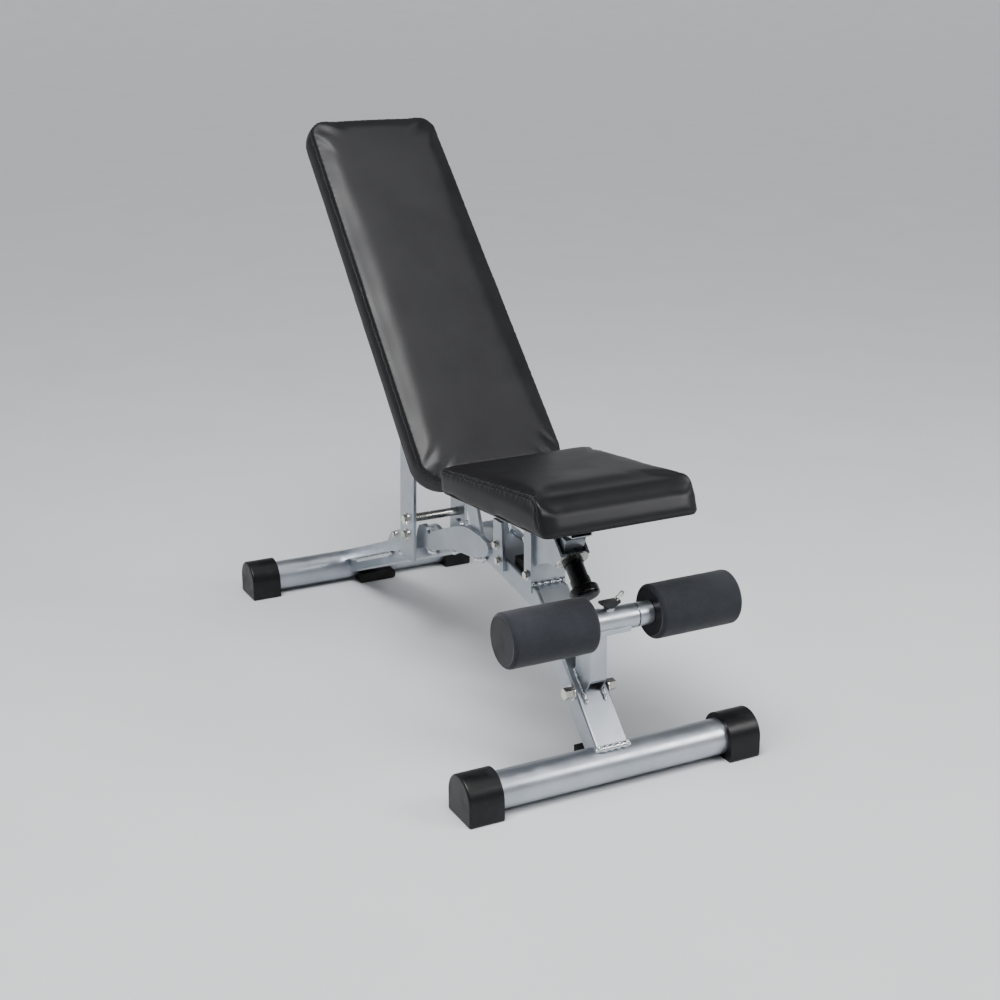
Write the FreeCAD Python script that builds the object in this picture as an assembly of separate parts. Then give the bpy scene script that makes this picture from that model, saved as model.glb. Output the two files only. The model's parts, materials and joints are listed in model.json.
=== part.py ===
"""Adjustable weight bench: one STEP file per sub-part.

All the shapes are built in the bench frame: X to the right, Y to the back, Z up, with the
front foot's axis above Y = 0 and the floor at Z = 0.  Every shape is shifted on export so
that the row's origin is the middle of the footprint.
"""
import FreeCAD
import Part
import math
import os

V = FreeCAD.Vector

# ---- stance ---------------------------------------------------------------
FOOT_SPACING = 1042.0      # front foot axis to rear foot axis
FOOT_Z = 32.5              # height of both foot axes
FOOT_R = 30.0
FOOT_WALL = 2.5
FRONT_HALF = 205.0         # bare tube, centre to cap
REAR_HALF = 187.5
CAP_R = 39.0
CAP_LENGTH = 58.0
CAP_DEPTH = 25.0           # how far the tube goes into its cap
CAP_EDGE = 3.5
CAP_SOLE = 5.0             # rounding along both long edges of the sole

# ---- frame tube -----------------------------------------------------------
TUBE_X = 30.0              # half width
TUBE_H = 40.0              # depth in the side view
TUBE_WALL = 2.5
TUBE_CORNER = 5.0
LEG_LINE_Z = 49.0          # the 45 degree leg's centre line is z = y + this
LEG_TOE_Y = -8.0           # the leg's tip is cut upright here
MITRE = (196.7, 245.7)     # where the leg's centre line meets the middle tube's
MITRE_DIR = (0.453, -0.891)
BEND_VERTEX = (414.7, 282.8)
BEND_R = 300.0
BEAM_SLOPE = -0.4          # rear leg, in the side view
BEAM_TOP_Z = 470.2         # rear leg's top face is z = this + BEAM_SLOPE * y

# ---- backrest linkage -----------------------------------------------------
HINGE = (450.0, 376.0)     # backrest hinge, (y, z)
STRUT_TOP = (636.8, 520.0)
ROD = (651.0, 252.9)
ROD_R = 8.0
STRUT_IN = 49.0
STRUT_T = 6.0
STRUT_W = 60.0
STRUT_BELOW = 78.0         # from the rod down to the bar's end
HINGE_BOLT_R = 8.0
PIVOT_BOLT_R = 6.0
RUN = 0.05                 # running clearance on every turning or sliding fit
GAP = 0.5                  # gap beside every turning part

# ---- backrest -------------------------------------------------------------
BACK_FOOT = (412.4, 450.0)  # a point on the cushion's front plane
BACK_TILT = 46.6
BACK_LOW = -58.0           # along the plane, from BACK_FOOT
BACK_HIGH = 714.0
BACK_W_LOW = 281.0
BACK_W_HIGH = 260.0
BACK_CORNER_LOW = 55.0
BACK_CORNER_HIGH = 40.0
BACK_PAD = 38.0
BOARD = 12.0
BOARD_INSET = 5.0
PAD_ROUND = 9.0
RAIL_X = 20.0
RAIL_H = 40.0
BRACE_T = 5.0
LUG_IN = 22.0
LUG_T = 4.0

# ---- seat -----------------------------------------------------------------
SEAT_BACK = (321.6, 456.0)   # upper rear edge
SEAT_FRONT = (-9.7, 494.0)   # upper front crease
SEAT_NOSE = (-33.0, 434.0)   # lower front edge
SEAT_HEEL = (316.0, 412.0)   # lower rear edge
SEAT_W_BACK = 288.0
SEAT_W_FRONT = 273.0
SEAT_CORNER = 14.0
SEAT_FRONT_ROUND = 12.0
SEAT_HINGE = (176.0, 383.0)
SEAT_BOLT_R = 6.0
SEAT_RAIL_H = 48.0
SEAT_RAIL_Y = (99.0, 300.0)
STRAP_IN = 58.0
STRAP_OUT = 64.0
STRAP_X = 18.0
STRAP_ANGLES = (12.0, 85.0)  # below the forward horizontal
PIN_ANGLE = 45.0
HOLE_STEP = 13.0
PIN_HOLE_R = 5.3

# ---- seat pop-pin, distances from the seat hinge along the pin ----------------
PIN_TIP = 64.6
PLATE_IN = 68.0
PLATE_OUT = 72.0
BARREL_END = 120.0
KNOB_IN = 122.0
KNOB_OUT = 140.0
PIN_R = 5.0
BARREL_R = 15.0
KNOB_R = 24.0
FLANGE_R = 27.0
FLANGE_T = 3.0

# ---- leg rollers ------------------------------------------------------------
BAR = (5.0, 272.8)
BAR_R = 16.0
SLEEVE_R = 19.3
SLEEVE_X = (-39.0, 42.0)
COLLAR_R = 18.9
ROLLER_R = 43.8
ROLLER_LENGTH = 147.0
ROLLER_X = (-186.5, 70.0)
CORE_R = 19.0
DISC_R = 37.0
DISC_T = 2.0
FOAM_EDGE = 6.0
OUTER_PLUG = 5.0           # solid end of each roller, outside the bar's end
POST_X = 16.0
POST_Y = (37.5, 85.5)
POST_TOP = 254.0
POST_WALL = 3.0
LOCK_X = -2.0
LOCK_PIN_R = 4.0
LOCK_BOSS_R = 9.0
COLLAR_GROOVE = 2.5

PARTS = {}


def keep(name, shape):
    """Store a sub-part, moved from the bench frame to the row frame."""
    shape = shape.copy()
    shape.translate(V(0, -FOOT_SPACING / 2, 0))
    PARTS[name] = shape


def group(shapes):
    """Several separate solids that share one file."""
    return Part.makeCompound(list(shapes))


def fuse(first, *others):
    return first.multiFuse(list(others)).removeSplitter()


def yz(point, x=0.0):
    return V(x, point[0], point[1])


def plate(points, x0, x1):
    """A side-view polygon, thickened along X."""
    wire = Part.makePolygon([yz(p, x0) for p in points] + [yz(points[0], x0)])
    return Part.Face(wire).extrude(V(x1 - x0, 0, 0))


def rod_x(centre, r, x0, x1):
    """A cylinder along X."""
    return Part.makeCylinder(r, x1 - x0, yz(centre, x0), V(1, 0, 0))


def sleeve_x(centre, r, bore, x0, x1):
    return rod_x(centre, r, x0, x1).cut(rod_x(centre, bore, x0 - 1, x1 + 1))


def hex_bolt(centre, x, side, r=9.0, height=6.0, washer=11.5):
    """A hexagon head on a washer, standing out of the face at x on the given side."""
    start = V(x, centre[0], centre[1])
    out = V(side, 0, 0)
    disc = Part.makeCylinder(washer, 1.8, start, out)
    corners = []
    for i in range(7):
        a = math.radians(60 * i + 15)
        corners.append(start + V(side * 1.8, r * math.cos(a), r * math.sin(a)))
    head = Part.Face(Part.makePolygon(corners)).extrude(out * height)
    return disc.fuse(head).removeSplitter()


def both(make):
    """The same piece on the left and on the right."""
    return [make(-1), make(1)]


def bead(start, end, r=3.0):
    """A weld bead along a straight line, with rounded ends."""
    a = V(*start)
    b = V(*end)
    run = Part.makeCylinder(r, (b - a).Length, a, b - a)
    return fuse(run, Part.makeSphere(r, a), Part.makeSphere(r, b))


def trim(shape, *others):
    for other in others:
        shape = shape.cut(other)
    return shape


def rounded_section(centre, along, half_x, half_h, corner):
    """A rounded rectangle across the given side-view direction."""
    across = V(0, -along[1], along[0])
    ex = V(1, 0, 0)
    mid = yz(centre)
    quarter = math.sqrt(0.5)
    points = []
    for sx, sh in ((1, 1), (-1, 1), (-1, -1), (1, -1)):
        c = mid + ex * (sx * (half_x - corner)) + across * (sh * (half_h - corner))
        a = c + ex * (sx * corner)
        m = c + (ex * sx + across * sh) * (corner * quarter)
        b = c + across * (sh * corner)
        points.append((a, m, b) if sx * sh > 0 else (b, m, a))
    edges = []
    for i, (a, m, b) in enumerate(points):
        edges.append(Part.Arc(a, m, b).toShape())
        edges.append(Part.makeLine(b, points[(i + 1) % 4][0]))
    return Part.Wire(edges)


def swept_tube(spine, centre, along, half_x, half_h, wall, corner):
    """A rectangular tube and its filled-in twin, swept along a wire."""
    outer = spine.makePipeShell([rounded_section(centre, along, half_x, half_h, corner)], True, True)
    inner_section = rounded_section(centre, along, half_x - wall, half_h - wall, corner - wall)
    inner = spine.makePipeShell([inner_section], True, True)
    return outer.cut(inner), outer


def straight_tube(start, end, half_x, half_h, wall, corner):
    length = math.dist(start, end)
    along = ((end[0] - start[0]) / length, (end[1] - start[1]) / length)
    spine = Part.Wire([Part.makeLine(yz(start), yz(end))])
    return swept_tube(spine, start, along, half_x, half_h, wall, corner)


def half_space(point, toward, size=900.0):
    """A large block on the side of a side-view plane that `toward` points to."""
    n = V(0, toward[0], toward[1]).normalize()
    t = V(0, -n.z, n.y)
    a = yz(point) - t * size
    b = yz(point) + t * size
    face = Part.Face(Part.makePolygon([a, b, b + n * size, a + n * size, a]))
    block = face.extrude(V(2 * size, 0, 0))
    block.translate(V(-size, 0, 0))
    return block


def beam_top(y):
    return BEAM_TOP_Z + BEAM_SLOPE * y


# ---- feet -----------------------------------------------------------------

front_axis = (0.0, FOOT_Z)
rear_axis = (FOOT_SPACING, FOOT_Z)


def foot_tube(axis, half):
    reach = half + CAP_DEPTH
    return sleeve_x(axis, FOOT_R, FOOT_R - FOOT_WALL, -reach, reach)


def foot_cap(axis, half, side):
    """An arched end cap: round above, with upright sides down to a flat sole."""
    x0 = half if side > 0 else -half - CAP_LENGTH
    dome = rod_x(axis, CAP_R, x0, x0 + CAP_LENGTH)
    legs = Part.makeBox(CAP_LENGTH, 2 * CAP_R, axis[1], V(x0, axis[0] - CAP_R, 0))
    below = Part.makeBox(CAP_LENGTH, 2 * CAP_R, CAP_R, V(x0, axis[0] - CAP_R, -CAP_R))
    body = fuse(dome, legs).cut(below)
    soles = [e for e in body.Edges if e.BoundBox.ZMax < 0.01 and e.BoundBox.XLength > CAP_LENGTH - 0.01]
    body = body.makeFillet(CAP_SOLE, soles)
    outer_x = side * (half + CAP_LENGTH)
    rim = [e for e in body.Edges if e.BoundBox.XLength < 0.01 and abs(e.BoundBox.XMin - outer_x) < 0.01]
    body = body.makeFillet(CAP_EDGE, rim)
    bore_x0 = x0 - 1 if side > 0 else x0 + CAP_LENGTH - CAP_DEPTH
    bore = rod_x(axis, FOOT_R, bore_x0, bore_x0 + CAP_DEPTH + 1)
    return body.cut(bore)


keep("front_foot_tube", foot_tube(front_axis, FRONT_HALF))
keep("rear_foot_tube", foot_tube(rear_axis, REAR_HALF))
for end, axis, half in (("front", front_axis, FRONT_HALF), ("rear", rear_axis, REAR_HALF)):
    for word, side in (("left", -1), ("right", 1)):
        keep(f"{end}_foot_cap_{word}", foot_cap(axis, half, side))

front_foot = rod_x(front_axis, FOOT_R, -300, 300)
rear_foot = rod_x(rear_axis, FOOT_R, -300, 300)

# ---- front leg and main beam --------------------------------------------------

diagonal = math.sqrt(0.5)
leg_low = ((FOOT_Z - LEG_LINE_Z) / 2, (FOOT_Z + LEG_LINE_Z) / 2)
leg_high = (MITRE[0] + 60, MITRE[1] + 60)
mitre_back = (-MITRE_DIR[1], MITRE_DIR[0])
behind_mitre = half_space(MITRE, mitre_back)
ahead_of_mitre = half_space(MITRE, (-mitre_back[0], -mitre_back[1]))
leg, leg_filled = straight_tube(leg_low, leg_high, TUBE_X, TUBE_H / 2, TUBE_WALL, TUBE_CORNER)
leg_toe = half_space((LEG_TOE_Y, 0.0), (-1.0, 0.0))
leg = trim(leg, behind_mitre, front_foot, leg_toe)
leg_filled = trim(leg_filled, behind_mitre, front_foot, leg_toe)
keep("front_leg", leg)

mid_run = math.dist(MITRE, BEND_VERTEX)
mid_dir = ((BEND_VERTEX[0] - MITRE[0]) / mid_run, (BEND_VERTEX[1] - MITRE[1]) / mid_run)
rear_run = math.dist(BEND_VERTEX, rear_axis)
rear_dir = ((rear_axis[0] - BEND_VERTEX[0]) / rear_run, (rear_axis[1] - BEND_VERTEX[1]) / rear_run)
bend = math.acos(mid_dir[0] * rear_dir[0] + mid_dir[1] * rear_dir[1])
setback = BEND_R * math.tan(bend / 2)
bend_in = (BEND_VERTEX[0] - mid_dir[0] * setback, BEND_VERTEX[1] - mid_dir[1] * setback)
bend_out = (BEND_VERTEX[0] + rear_dir[0] * setback, BEND_VERTEX[1] + rear_dir[1] * setback)
bend_centre = (bend_in[0] + mid_dir[1] * BEND_R, bend_in[1] - mid_dir[0] * BEND_R)
bisector = (BEND_VERTEX[0] - bend_centre[0], BEND_VERTEX[1] - bend_centre[1])
reach = math.hypot(*bisector)
bend_mid = (bend_centre[0] + bisector[0] / reach * BEND_R, bend_centre[1] + bisector[1] / reach * BEND_R)
beam_start = (MITRE[0] - mid_dir[0] * 60, MITRE[1] - mid_dir[1] * 60)
spine = Part.Wire([
    Part.makeLine(yz(beam_start), yz(bend_in)),
    Part.Arc(yz(bend_in), yz(bend_mid), yz(bend_out)).toShape(),
    Part.makeLine(yz(bend_out), yz(rear_axis)),
])
beam, beam_filled = swept_tube(spine, beam_start, mid_dir, TUBE_X, TUBE_H / 2, TUBE_WALL, TUBE_CORNER)
beam = trim(beam, ahead_of_mitre, rear_foot)
beam_filled = trim(beam_filled, ahead_of_mitre, rear_foot)
keep("main_beam", beam)

# ---- ladder plates --------------------------------------------------------------

LADDER_T = 8.0
NOTCH_R = 9.5
NOTCH_Y = 592.0
TOOTH_RISE = 27.0
TAIL_RISE = 10.0


def over_beam(y, rise):
    return (y, beam_top(y) + rise)


ladder_outline = [
    (362.0, 266.0), (349.0, 276.0), (346.5, 286.0), (353.0, 295.0), (378.0, 299.5),
    (417.0, 300.5), (438.0, 299.0), (458.0, 294.5), (492.0, 282.5),
    over_beam(578, 9), over_beam(580, 18), over_beam(586, 22),
    over_beam(592, 20), over_beam(608, 20), over_beam(616, TOOTH_RISE), over_beam(634, TOOTH_RISE),
    over_beam(643, 18), over_beam(646, 6), over_beam(680, 6), over_beam(690, 12), over_beam(708, 22),
    over_beam(722, TOOTH_RISE), over_beam(766, TOOTH_RISE), over_beam(776, 21), over_beam(786, TAIL_RISE),
    over_beam(1038, TAIL_RISE), over_beam(1038, -12), over_beam(776, -13), over_beam(700, -17),
    over_beam(604, -20), over_beam(569, -30), over_beam(500, -32), (475.0, 243.0), (418.0, 250.0),
]


def ladder_plate(side):
    x0 = TUBE_X if side > 0 else -TUBE_X - LADDER_T
    blank = plate(ladder_outline, x0, x0 + LADDER_T)
    notch_centre = over_beam(NOTCH_Y, 6 + NOTCH_R)
    cut = fuse(
        rod_x(notch_centre, NOTCH_R, -60, 60),
        plate([(NOTCH_Y - NOTCH_R, notch_centre[1]), (NOTCH_Y + NOTCH_R, notch_centre[1]),
               (NOTCH_Y + NOTCH_R + 5, notch_centre[1] + 40), (NOTCH_Y - NOTCH_R - 5, notch_centre[1] + 40)],
              -60, 60))
    return trim(blank, cut, rear_foot)


keep("ladder_plate_left", ladder_plate(-1))
keep("ladder_plate_right", ladder_plate(1))

# ---- backrest hinge plates on the beam --------------------------------------------

UPRIGHT_IN = 24.0
UPRIGHT_T = 6.0
HINGE_BOSS_R = 19.0
upright_outline = [
    (386.0, 288.0), (428.0, 292.0), (438.0, 318.0), (466.0, 366.0), (433.0, 385.0), (404.0, 336.0),
]


def hinge_upright(side):
    """A plate standing on the beam that carries one end of the backrest's hinge bolt."""
    x0 = UPRIGHT_IN if side > 0 else -UPRIGHT_IN - UPRIGHT_T
    body = fuse(plate(upright_outline, x0, x0 + UPRIGHT_T), rod_x(HINGE, HINGE_BOSS_R, x0, x0 + UPRIGHT_T))
    return trim(body, rod_x(HINGE, HINGE_BOLT_R, -60, 60), beam_filled)


keep("hinge_uprights", group(both(hinge_upright)))

REAR_PLATE_T = 6.0
REAR_PLATE_TOP = 346.0
rear_plate_outline = [(295.0, 262.0), (331.0, 266.0), (331.0, REAR_PLATE_TOP), (301.0, REAR_PLATE_TOP)]


def rear_plate(side):
    """A plate bolted to the beam's side, behind the seat bracket."""
    x0 = TUBE_X if side > 0 else -TUBE_X - REAR_PLATE_T
    return plate(rear_plate_outline, x0, x0 + REAR_PLATE_T)


keep("rear_plates", group(both(rear_plate)))
rear_out = TUBE_X + REAR_PLATE_T
hinge_out = UPRIGHT_IN + UPRIGHT_T
keep("hinge_bolt", fuse(
    rod_x(HINGE, HINGE_BOLT_R, -hinge_out, hinge_out),
    hex_bolt(HINGE, -hinge_out, -1, r=12.0, height=7.0, washer=15.0),
    hex_bolt(HINGE, hinge_out, 1, r=12.0, height=7.0, washer=15.0)))

# ---- seat bracket -------------------------------------------------------------------

CHANNEL_X = 32.0
CHANNEL_T = 4.0
CHANNEL_Y = (203.0, 228.0)
CHANNEL_LOW = 262.0
FRONT_TOP = 350.0
FLANGE_TOP = 390.0


def seat_bracket():
    front = Part.makeBox(2 * CHANNEL_X, CHANNEL_T, FRONT_TOP - CHANNEL_LOW,
                         V(-CHANNEL_X, CHANNEL_Y[0], CHANNEL_LOW))
    flanges = []
    for x0 in (-CHANNEL_X, CHANNEL_X - CHANNEL_T):
        outline = [(CHANNEL_Y[0], CHANNEL_LOW - 8), (CHANNEL_Y[0], FRONT_TOP), (CHANNEL_Y[0] + 10, FLANGE_TOP),
                   (CHANNEL_Y[1], FLANGE_TOP), (CHANNEL_Y[1], CHANNEL_LOW - 8)]
        flanges.append(plate(outline, x0, x0 + CHANNEL_T))
    return trim(fuse(front, *flanges), leg_filled, beam_filled)


def to_pin(distance, across=0.0, angle=PIN_ANGLE):
    """A side-view point at a distance from the seat hinge, `across` to the upper side."""
    a = math.radians(angle)
    y = SEAT_HINGE[0] - distance * math.cos(a) - across * math.sin(a)
    z = SEAT_HINGE[1] - distance * math.sin(a) + across * math.cos(a)
    return (y, z)


def seat_lug(side):
    """A triangular plate that carries the seat hinge and the pop-pin."""
    x0 = LUG_IN if side > 0 else -LUG_IN - LUG_T
    outline = [
        (CHANNEL_Y[0], 300.0), (CHANNEL_Y[0], FRONT_TOP), to_pin(-10, -16), to_pin(-12, 8), to_pin(0, 14),
        to_pin(PLATE_IN - 14, 16), to_pin(PLATE_OUT, 16), to_pin(PLATE_OUT, -16), to_pin(PLATE_IN - 12, -34),
    ]
    body = plate(outline, x0, x0 + LUG_T)
    return body.cut(rod_x(SEAT_HINGE, SEAT_BOLT_R, -60, 60))


keep("seat_bracket", seat_bracket())
keep("seat_lugs", group(both(seat_lug)))
lug_out = LUG_IN + LUG_T
keep("seat_hinge_bolt", fuse(
    rod_x(SEAT_HINGE, SEAT_BOLT_R, -lug_out, lug_out),
    hex_bolt(SEAT_HINGE, -lug_out, -1, r=8.5, height=4.5, washer=10.0),
    hex_bolt(SEAT_HINGE, lug_out, 1, r=8.5, height=4.5, washer=10.0)))

pin_dir = V(0, -math.cos(math.radians(PIN_ANGLE)), -math.sin(math.radians(PIN_ANGLE)))


def along_pin(r, d0, d1):
    return Part.makeCylinder(r, d1 - d0, yz(to_pin(d0)), pin_dir)


pin_bore = along_pin(PIN_R + RUN, PLATE_IN - 1, BARREL_END + 1)
keep("pin_plate", plate(
    [to_pin(PLATE_IN, -16), to_pin(PLATE_IN, 16), to_pin(PLATE_OUT, 16), to_pin(PLATE_OUT, -16)],
    -LUG_IN, LUG_IN).cut(pin_bore))
keep("pin_flange", along_pin(FLANGE_R, PLATE_OUT, PLATE_OUT + FLANGE_T).cut(pin_bore))
barrel_start = PLATE_OUT + FLANGE_T
barrel = fuse(
    along_pin(BARREL_R, barrel_start, BARREL_END),
    along_pin(BARREL_R + 2.0, barrel_start, barrel_start + 6),
    along_pin(BARREL_R + 1.5, BARREL_END - 12, BARREL_END))
keep("pin_barrel", barrel.cut(pin_bore))
keep("pin_plunger", along_pin(PIN_R, PIN_TIP, KNOB_IN + 6))
knob = along_pin(KNOB_R, KNOB_IN, KNOB_OUT)
knob = knob.makeFillet(5.0, [e for e in knob.Edges if abs(e.Length - 2 * math.pi * KNOB_R) < 1])
keep("pin_knob", knob.cut(along_pin(PIN_R, KNOB_IN - 1, KNOB_IN + 6)))

# ---- seat -----------------------------------------------------------------------


seat_run = math.dist(SEAT_NOSE, SEAT_HEEL)
seat_dir = ((SEAT_HEEL[0] - SEAT_NOSE[0]) / seat_run, (SEAT_HEEL[1] - SEAT_NOSE[1]) / seat_run)
seat_up = (-seat_dir[1], seat_dir[0])


def seat_point(along, up):
    """A side-view point from the seat's lower front edge."""
    y = SEAT_NOSE[0] + seat_dir[0] * along + seat_up[0] * up
    z = SEAT_NOSE[1] + seat_dir[1] * along + seat_up[1] * up
    return (y, z)


def tapered(length, w0, w1, r0, r1, place, low, high):
    """A plan-view trapezium with rounded corners, thickened between two heights."""
    corners = [(0.0, -w0 / 2), (length, -w1 / 2), (length, w1 / 2), (0.0, w0 / 2)]
    wire = Part.makePolygon([yz(place(a, low), x) for a, x in corners + corners[:1]])
    up = yz(place(0, high)) - yz(place(0, low))
    block = Part.Face(wire).extrude(up)
    near = yz(place(0, low))
    ends = {0: [], 1: []}
    for e in block.Edges:
        if abs(e.Length - up.Length) > 0.01:
            continue
        ends[0 if (e.CenterOfMass - near).Length < length / 2 else 1].append(e)
    block = block.makeFillet(r0, ends[0])
    far = []
    for e in block.Edges:
        straight = e.Curve.TypeId == "Part::GeomLine" and abs(e.Length - up.Length) < 0.01
        if straight and (e.CenterOfMass - near).Length > length - 20:
            far.append(e)
    return block.makeFillet(r1, far)


def seat_cushion():
    """The wedge-shaped seat cushion, its lower face on the board."""
    span = seat_run
    blank = tapered(span, SEAT_W_FRONT, SEAT_W_BACK, SEAT_CORNER, SEAT_CORNER, seat_point, BOARD, 75)
    wedge = [seat_point(0, BOARD), seat_point(0, BOARD + 1), SEAT_FRONT, SEAT_BACK, seat_point(span, BOARD)]
    side = plate(wedge, -200, 200)
    body = blank.common(side)
    front = [e for e in body.Edges if e.BoundBox.XLength > 200 and abs(e.CenterOfMass.y - SEAT_FRONT[0]) < 1
             and abs(e.CenterOfMass.z - SEAT_FRONT[1]) < 1]
    return body.makeFillet(SEAT_FRONT_ROUND, front)


keep("seat_pad", seat_cushion())
keep("seat_board", tapered(
    seat_run - 2 * BOARD_INSET, SEAT_W_FRONT - 2 * BOARD_INSET, SEAT_W_BACK - 2 * BOARD_INSET,
    SEAT_CORNER, SEAT_CORNER, lambda a, u: seat_point(a + BOARD_INSET, u), 0.0, BOARD))


def seat_at(y, up):
    """A point at a given Y, `up` above the seat's lower face."""
    return seat_point((y - SEAT_NOSE[0]) / seat_dir[0], up)


rail_mid = -SEAT_RAIL_H / 2
seat_rail, seat_rail_filled = straight_tube(
    seat_at(SEAT_RAIL_Y[0], rail_mid), seat_at(SEAT_RAIL_Y[1], rail_mid),
    RAIL_X, SEAT_RAIL_H / 2, 2.0, 4.0)
SEAT_SLEEVE_R = 10.5
seat_rail = seat_rail.cut(rod_x(SEAT_HINGE, SEAT_SLEEVE_R, -60, 60))
keep("seat_rail", seat_rail)
keep("seat_hinge_sleeve", sleeve_x(
    SEAT_HINGE, SEAT_SLEEVE_R, SEAT_BOLT_R + RUN, -LUG_IN + GAP, LUG_IN - GAP))


def sector(r0, r1, x0, x1):
    """A ring segment round the seat hinge, below the seat rail."""
    ring = rod_x(SEAT_HINGE, r1, x0, x1).cut(rod_x(SEAT_HINGE, r0, x0 - 1, x1 + 1))
    a0, a1 = STRAP_ANGLES
    wedge = [SEAT_HINGE] + [to_pin(2 * STRAP_OUT, 0, a0 + (a1 - a0) * i / 4) for i in range(5)]
    return ring.common(plate(wedge, x0 - 1, x1 + 1)).cut(seat_rail_filled)


strap = sector(STRAP_IN, STRAP_OUT, -STRAP_X, STRAP_X)
for step in (-1, 0, 1):
    hole_angle = PIN_ANGLE + step * HOLE_STEP
    a = math.radians(hole_angle)
    hole_start = yz(to_pin(STRAP_IN - 5, 0, hole_angle))
    hole = Part.makeCylinder(PIN_HOLE_R, 20, hole_start, V(0, -math.cos(a), -math.sin(a)))
    strap = strap.cut(hole)
keep("seat_strap", strap)
WEB_R0 = 20.0
keep("seat_webs", group(
    sector(WEB_R0, STRAP_IN, x0, x0 + 4) for x0 in (-STRAP_X, STRAP_X - 4)))


def screw_head(point, direction, r=6.5, height=3.5):
    start = yz(point[1:], point[0])
    head = Part.makeCylinder(r, height, start, direction)
    top = [e for e in head.Edges if (e.CenterOfMass - start).Length > height / 2 and e.BoundBox.XLength > r]
    return head.makeFillet(1.5, top[:1])


seat_down = V(0, -seat_up[0], -seat_up[1])
brace_rows = (120.0, 285.0)
SEAT_BRACE_X = 75.0
braces = []
screws = []
for row in brace_rows:
    for side in (-1, 1):
        x0, x1 = (RAIL_X, SEAT_BRACE_X) if side > 0 else (-SEAT_BRACE_X, -RAIL_X)
        corners = [seat_at(row - 14, 0), seat_at(row + 14, 0), seat_at(row + 14, -4), seat_at(row - 14, -4)]
        braces.append(plate(corners,
                            x0, x1))
        screws.append(screw_head((side * 58.0,) + seat_at(row, -4), seat_down))
keep("seat_braces", group(braces))
keep("seat_screws", group(screws))

# ---- backrest -----------------------------------------------------------------------

tilt = math.radians(BACK_TILT)
back_dir = (math.cos(tilt), math.sin(tilt))
back_out = (-back_dir[1], back_dir[0])


def back_point(along, out):
    """A side-view point, `out` in front of the cushion's front plane."""
    y = BACK_FOOT[0] + back_dir[0] * along + back_out[0] * out
    z = BACK_FOOT[1] + back_dir[1] * along + back_out[1] * out
    return (y, z)


def back_place(along, out):
    return back_point(BACK_LOW + along, out)


back_length = BACK_HIGH - BACK_LOW
pad = tapered(back_length, BACK_W_LOW, BACK_W_HIGH, BACK_CORNER_LOW, BACK_CORNER_HIGH,
              back_place, -BACK_PAD, 0.0)
front_n = V(0, back_out[0], back_out[1])
front_edges = [e for e in pad.Edges
               if all(abs((v.Point - yz(BACK_FOOT)).dot(front_n)) < 0.01 for v in e.Vertexes)]
keep("backrest_pad", pad.makeFillet(PAD_ROUND, front_edges))
keep("backrest_board", tapered(
    back_length - 2 * BOARD_INSET, BACK_W_LOW - 2 * BOARD_INSET, BACK_W_HIGH - 2 * BOARD_INSET,
    BACK_CORNER_LOW, BACK_CORNER_HIGH, lambda a, o: back_place(a + BOARD_INSET, o),
    -BACK_PAD - BOARD, -BACK_PAD))

board_back = -BACK_PAD - BOARD
rail_face = board_back - BRACE_T
rail_centre = rail_face - RAIL_H / 2
BACK_RAIL = (-50.0, 560.0)
SLEEVE_BIG = 14.0
back_rail, _ = straight_tube(
    back_point(BACK_RAIL[0], rail_centre), back_point(BACK_RAIL[1], rail_centre),
    RAIL_X, RAIL_H / 2, 2.0, 4.0)
back_rail = back_rail.cut(rod_x(HINGE, SLEEVE_BIG, -60, 60))
keep("backrest_rail", back_rail)
keep("backrest_hinge_sleeve", sleeve_x(
    HINGE, SLEEVE_BIG, HINGE_BOLT_R + RUN, -UPRIGHT_IN + GAP, UPRIGHT_IN - GAP))
keep("backrest_rail_plug", plate(
    [back_point(BACK_RAIL[1], rail_face), back_point(BACK_RAIL[1] + 4, rail_face),
     back_point(BACK_RAIL[1] + 4, rail_face - RAIL_H), back_point(BACK_RAIL[1], rail_face - RAIL_H)],
    -RAIL_X, RAIL_X))

BACK_BRACE_X = 95.0
back_rows = (70.0, 300.0, 530.0)
braces = []
screws = []
back_down = V(0, -back_out[0], -back_out[1])
for row in back_rows:
    braces.append(plate([back_point(row - 16, board_back), back_point(row + 16, board_back),
                         back_point(row + 16, rail_face), back_point(row - 16, rail_face)],
                        -BACK_BRACE_X, BACK_BRACE_X))
    for x in (-78.0, -45.0, 45.0, 78.0):
        screws.append(screw_head((x,) + back_point(row, rail_face), back_down))
keep("backrest_braces", group(braces))
keep("backrest_screws", group(screws))


SLEEVE_SMALL = 12.0


def strut_lug(side):
    """A cheek plate under the rail that carries the strut's upper pivot."""
    x0 = RAIL_X if side > 0 else -RAIL_X - LUG_T
    along = (STRUT_TOP[0] - BACK_FOOT[0]) * back_dir[0] + (STRUT_TOP[1] - BACK_FOOT[1]) * back_dir[1]
    body = plate([back_point(along - 42, rail_face - 8), back_point(along + 42, rail_face - 8),
                  back_point(along + 16, rail_face - 72), back_point(along - 16, rail_face - 72)],
                 x0, x0 + LUG_T)
    body = fuse(body, rod_x(STRUT_TOP, 19.0, x0, x0 + LUG_T))
    return body.cut(rod_x(STRUT_TOP, SLEEVE_SMALL, -60, 60))


keep("strut_lugs", group(both(strut_lug)))
keep("strut_pivot_sleeve", sleeve_x(
    STRUT_TOP, SLEEVE_SMALL, PIVOT_BOLT_R + RUN, -STRUT_IN + GAP, STRUT_IN - GAP))

# ---- prop strut ---------------------------------------------------------------------

strut_run = math.dist(STRUT_TOP, ROD)
strut_dir = ((ROD[0] - STRUT_TOP[0]) / strut_run, (ROD[1] - STRUT_TOP[1]) / strut_run)
strut_side = (-strut_dir[1], strut_dir[0])


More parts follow.
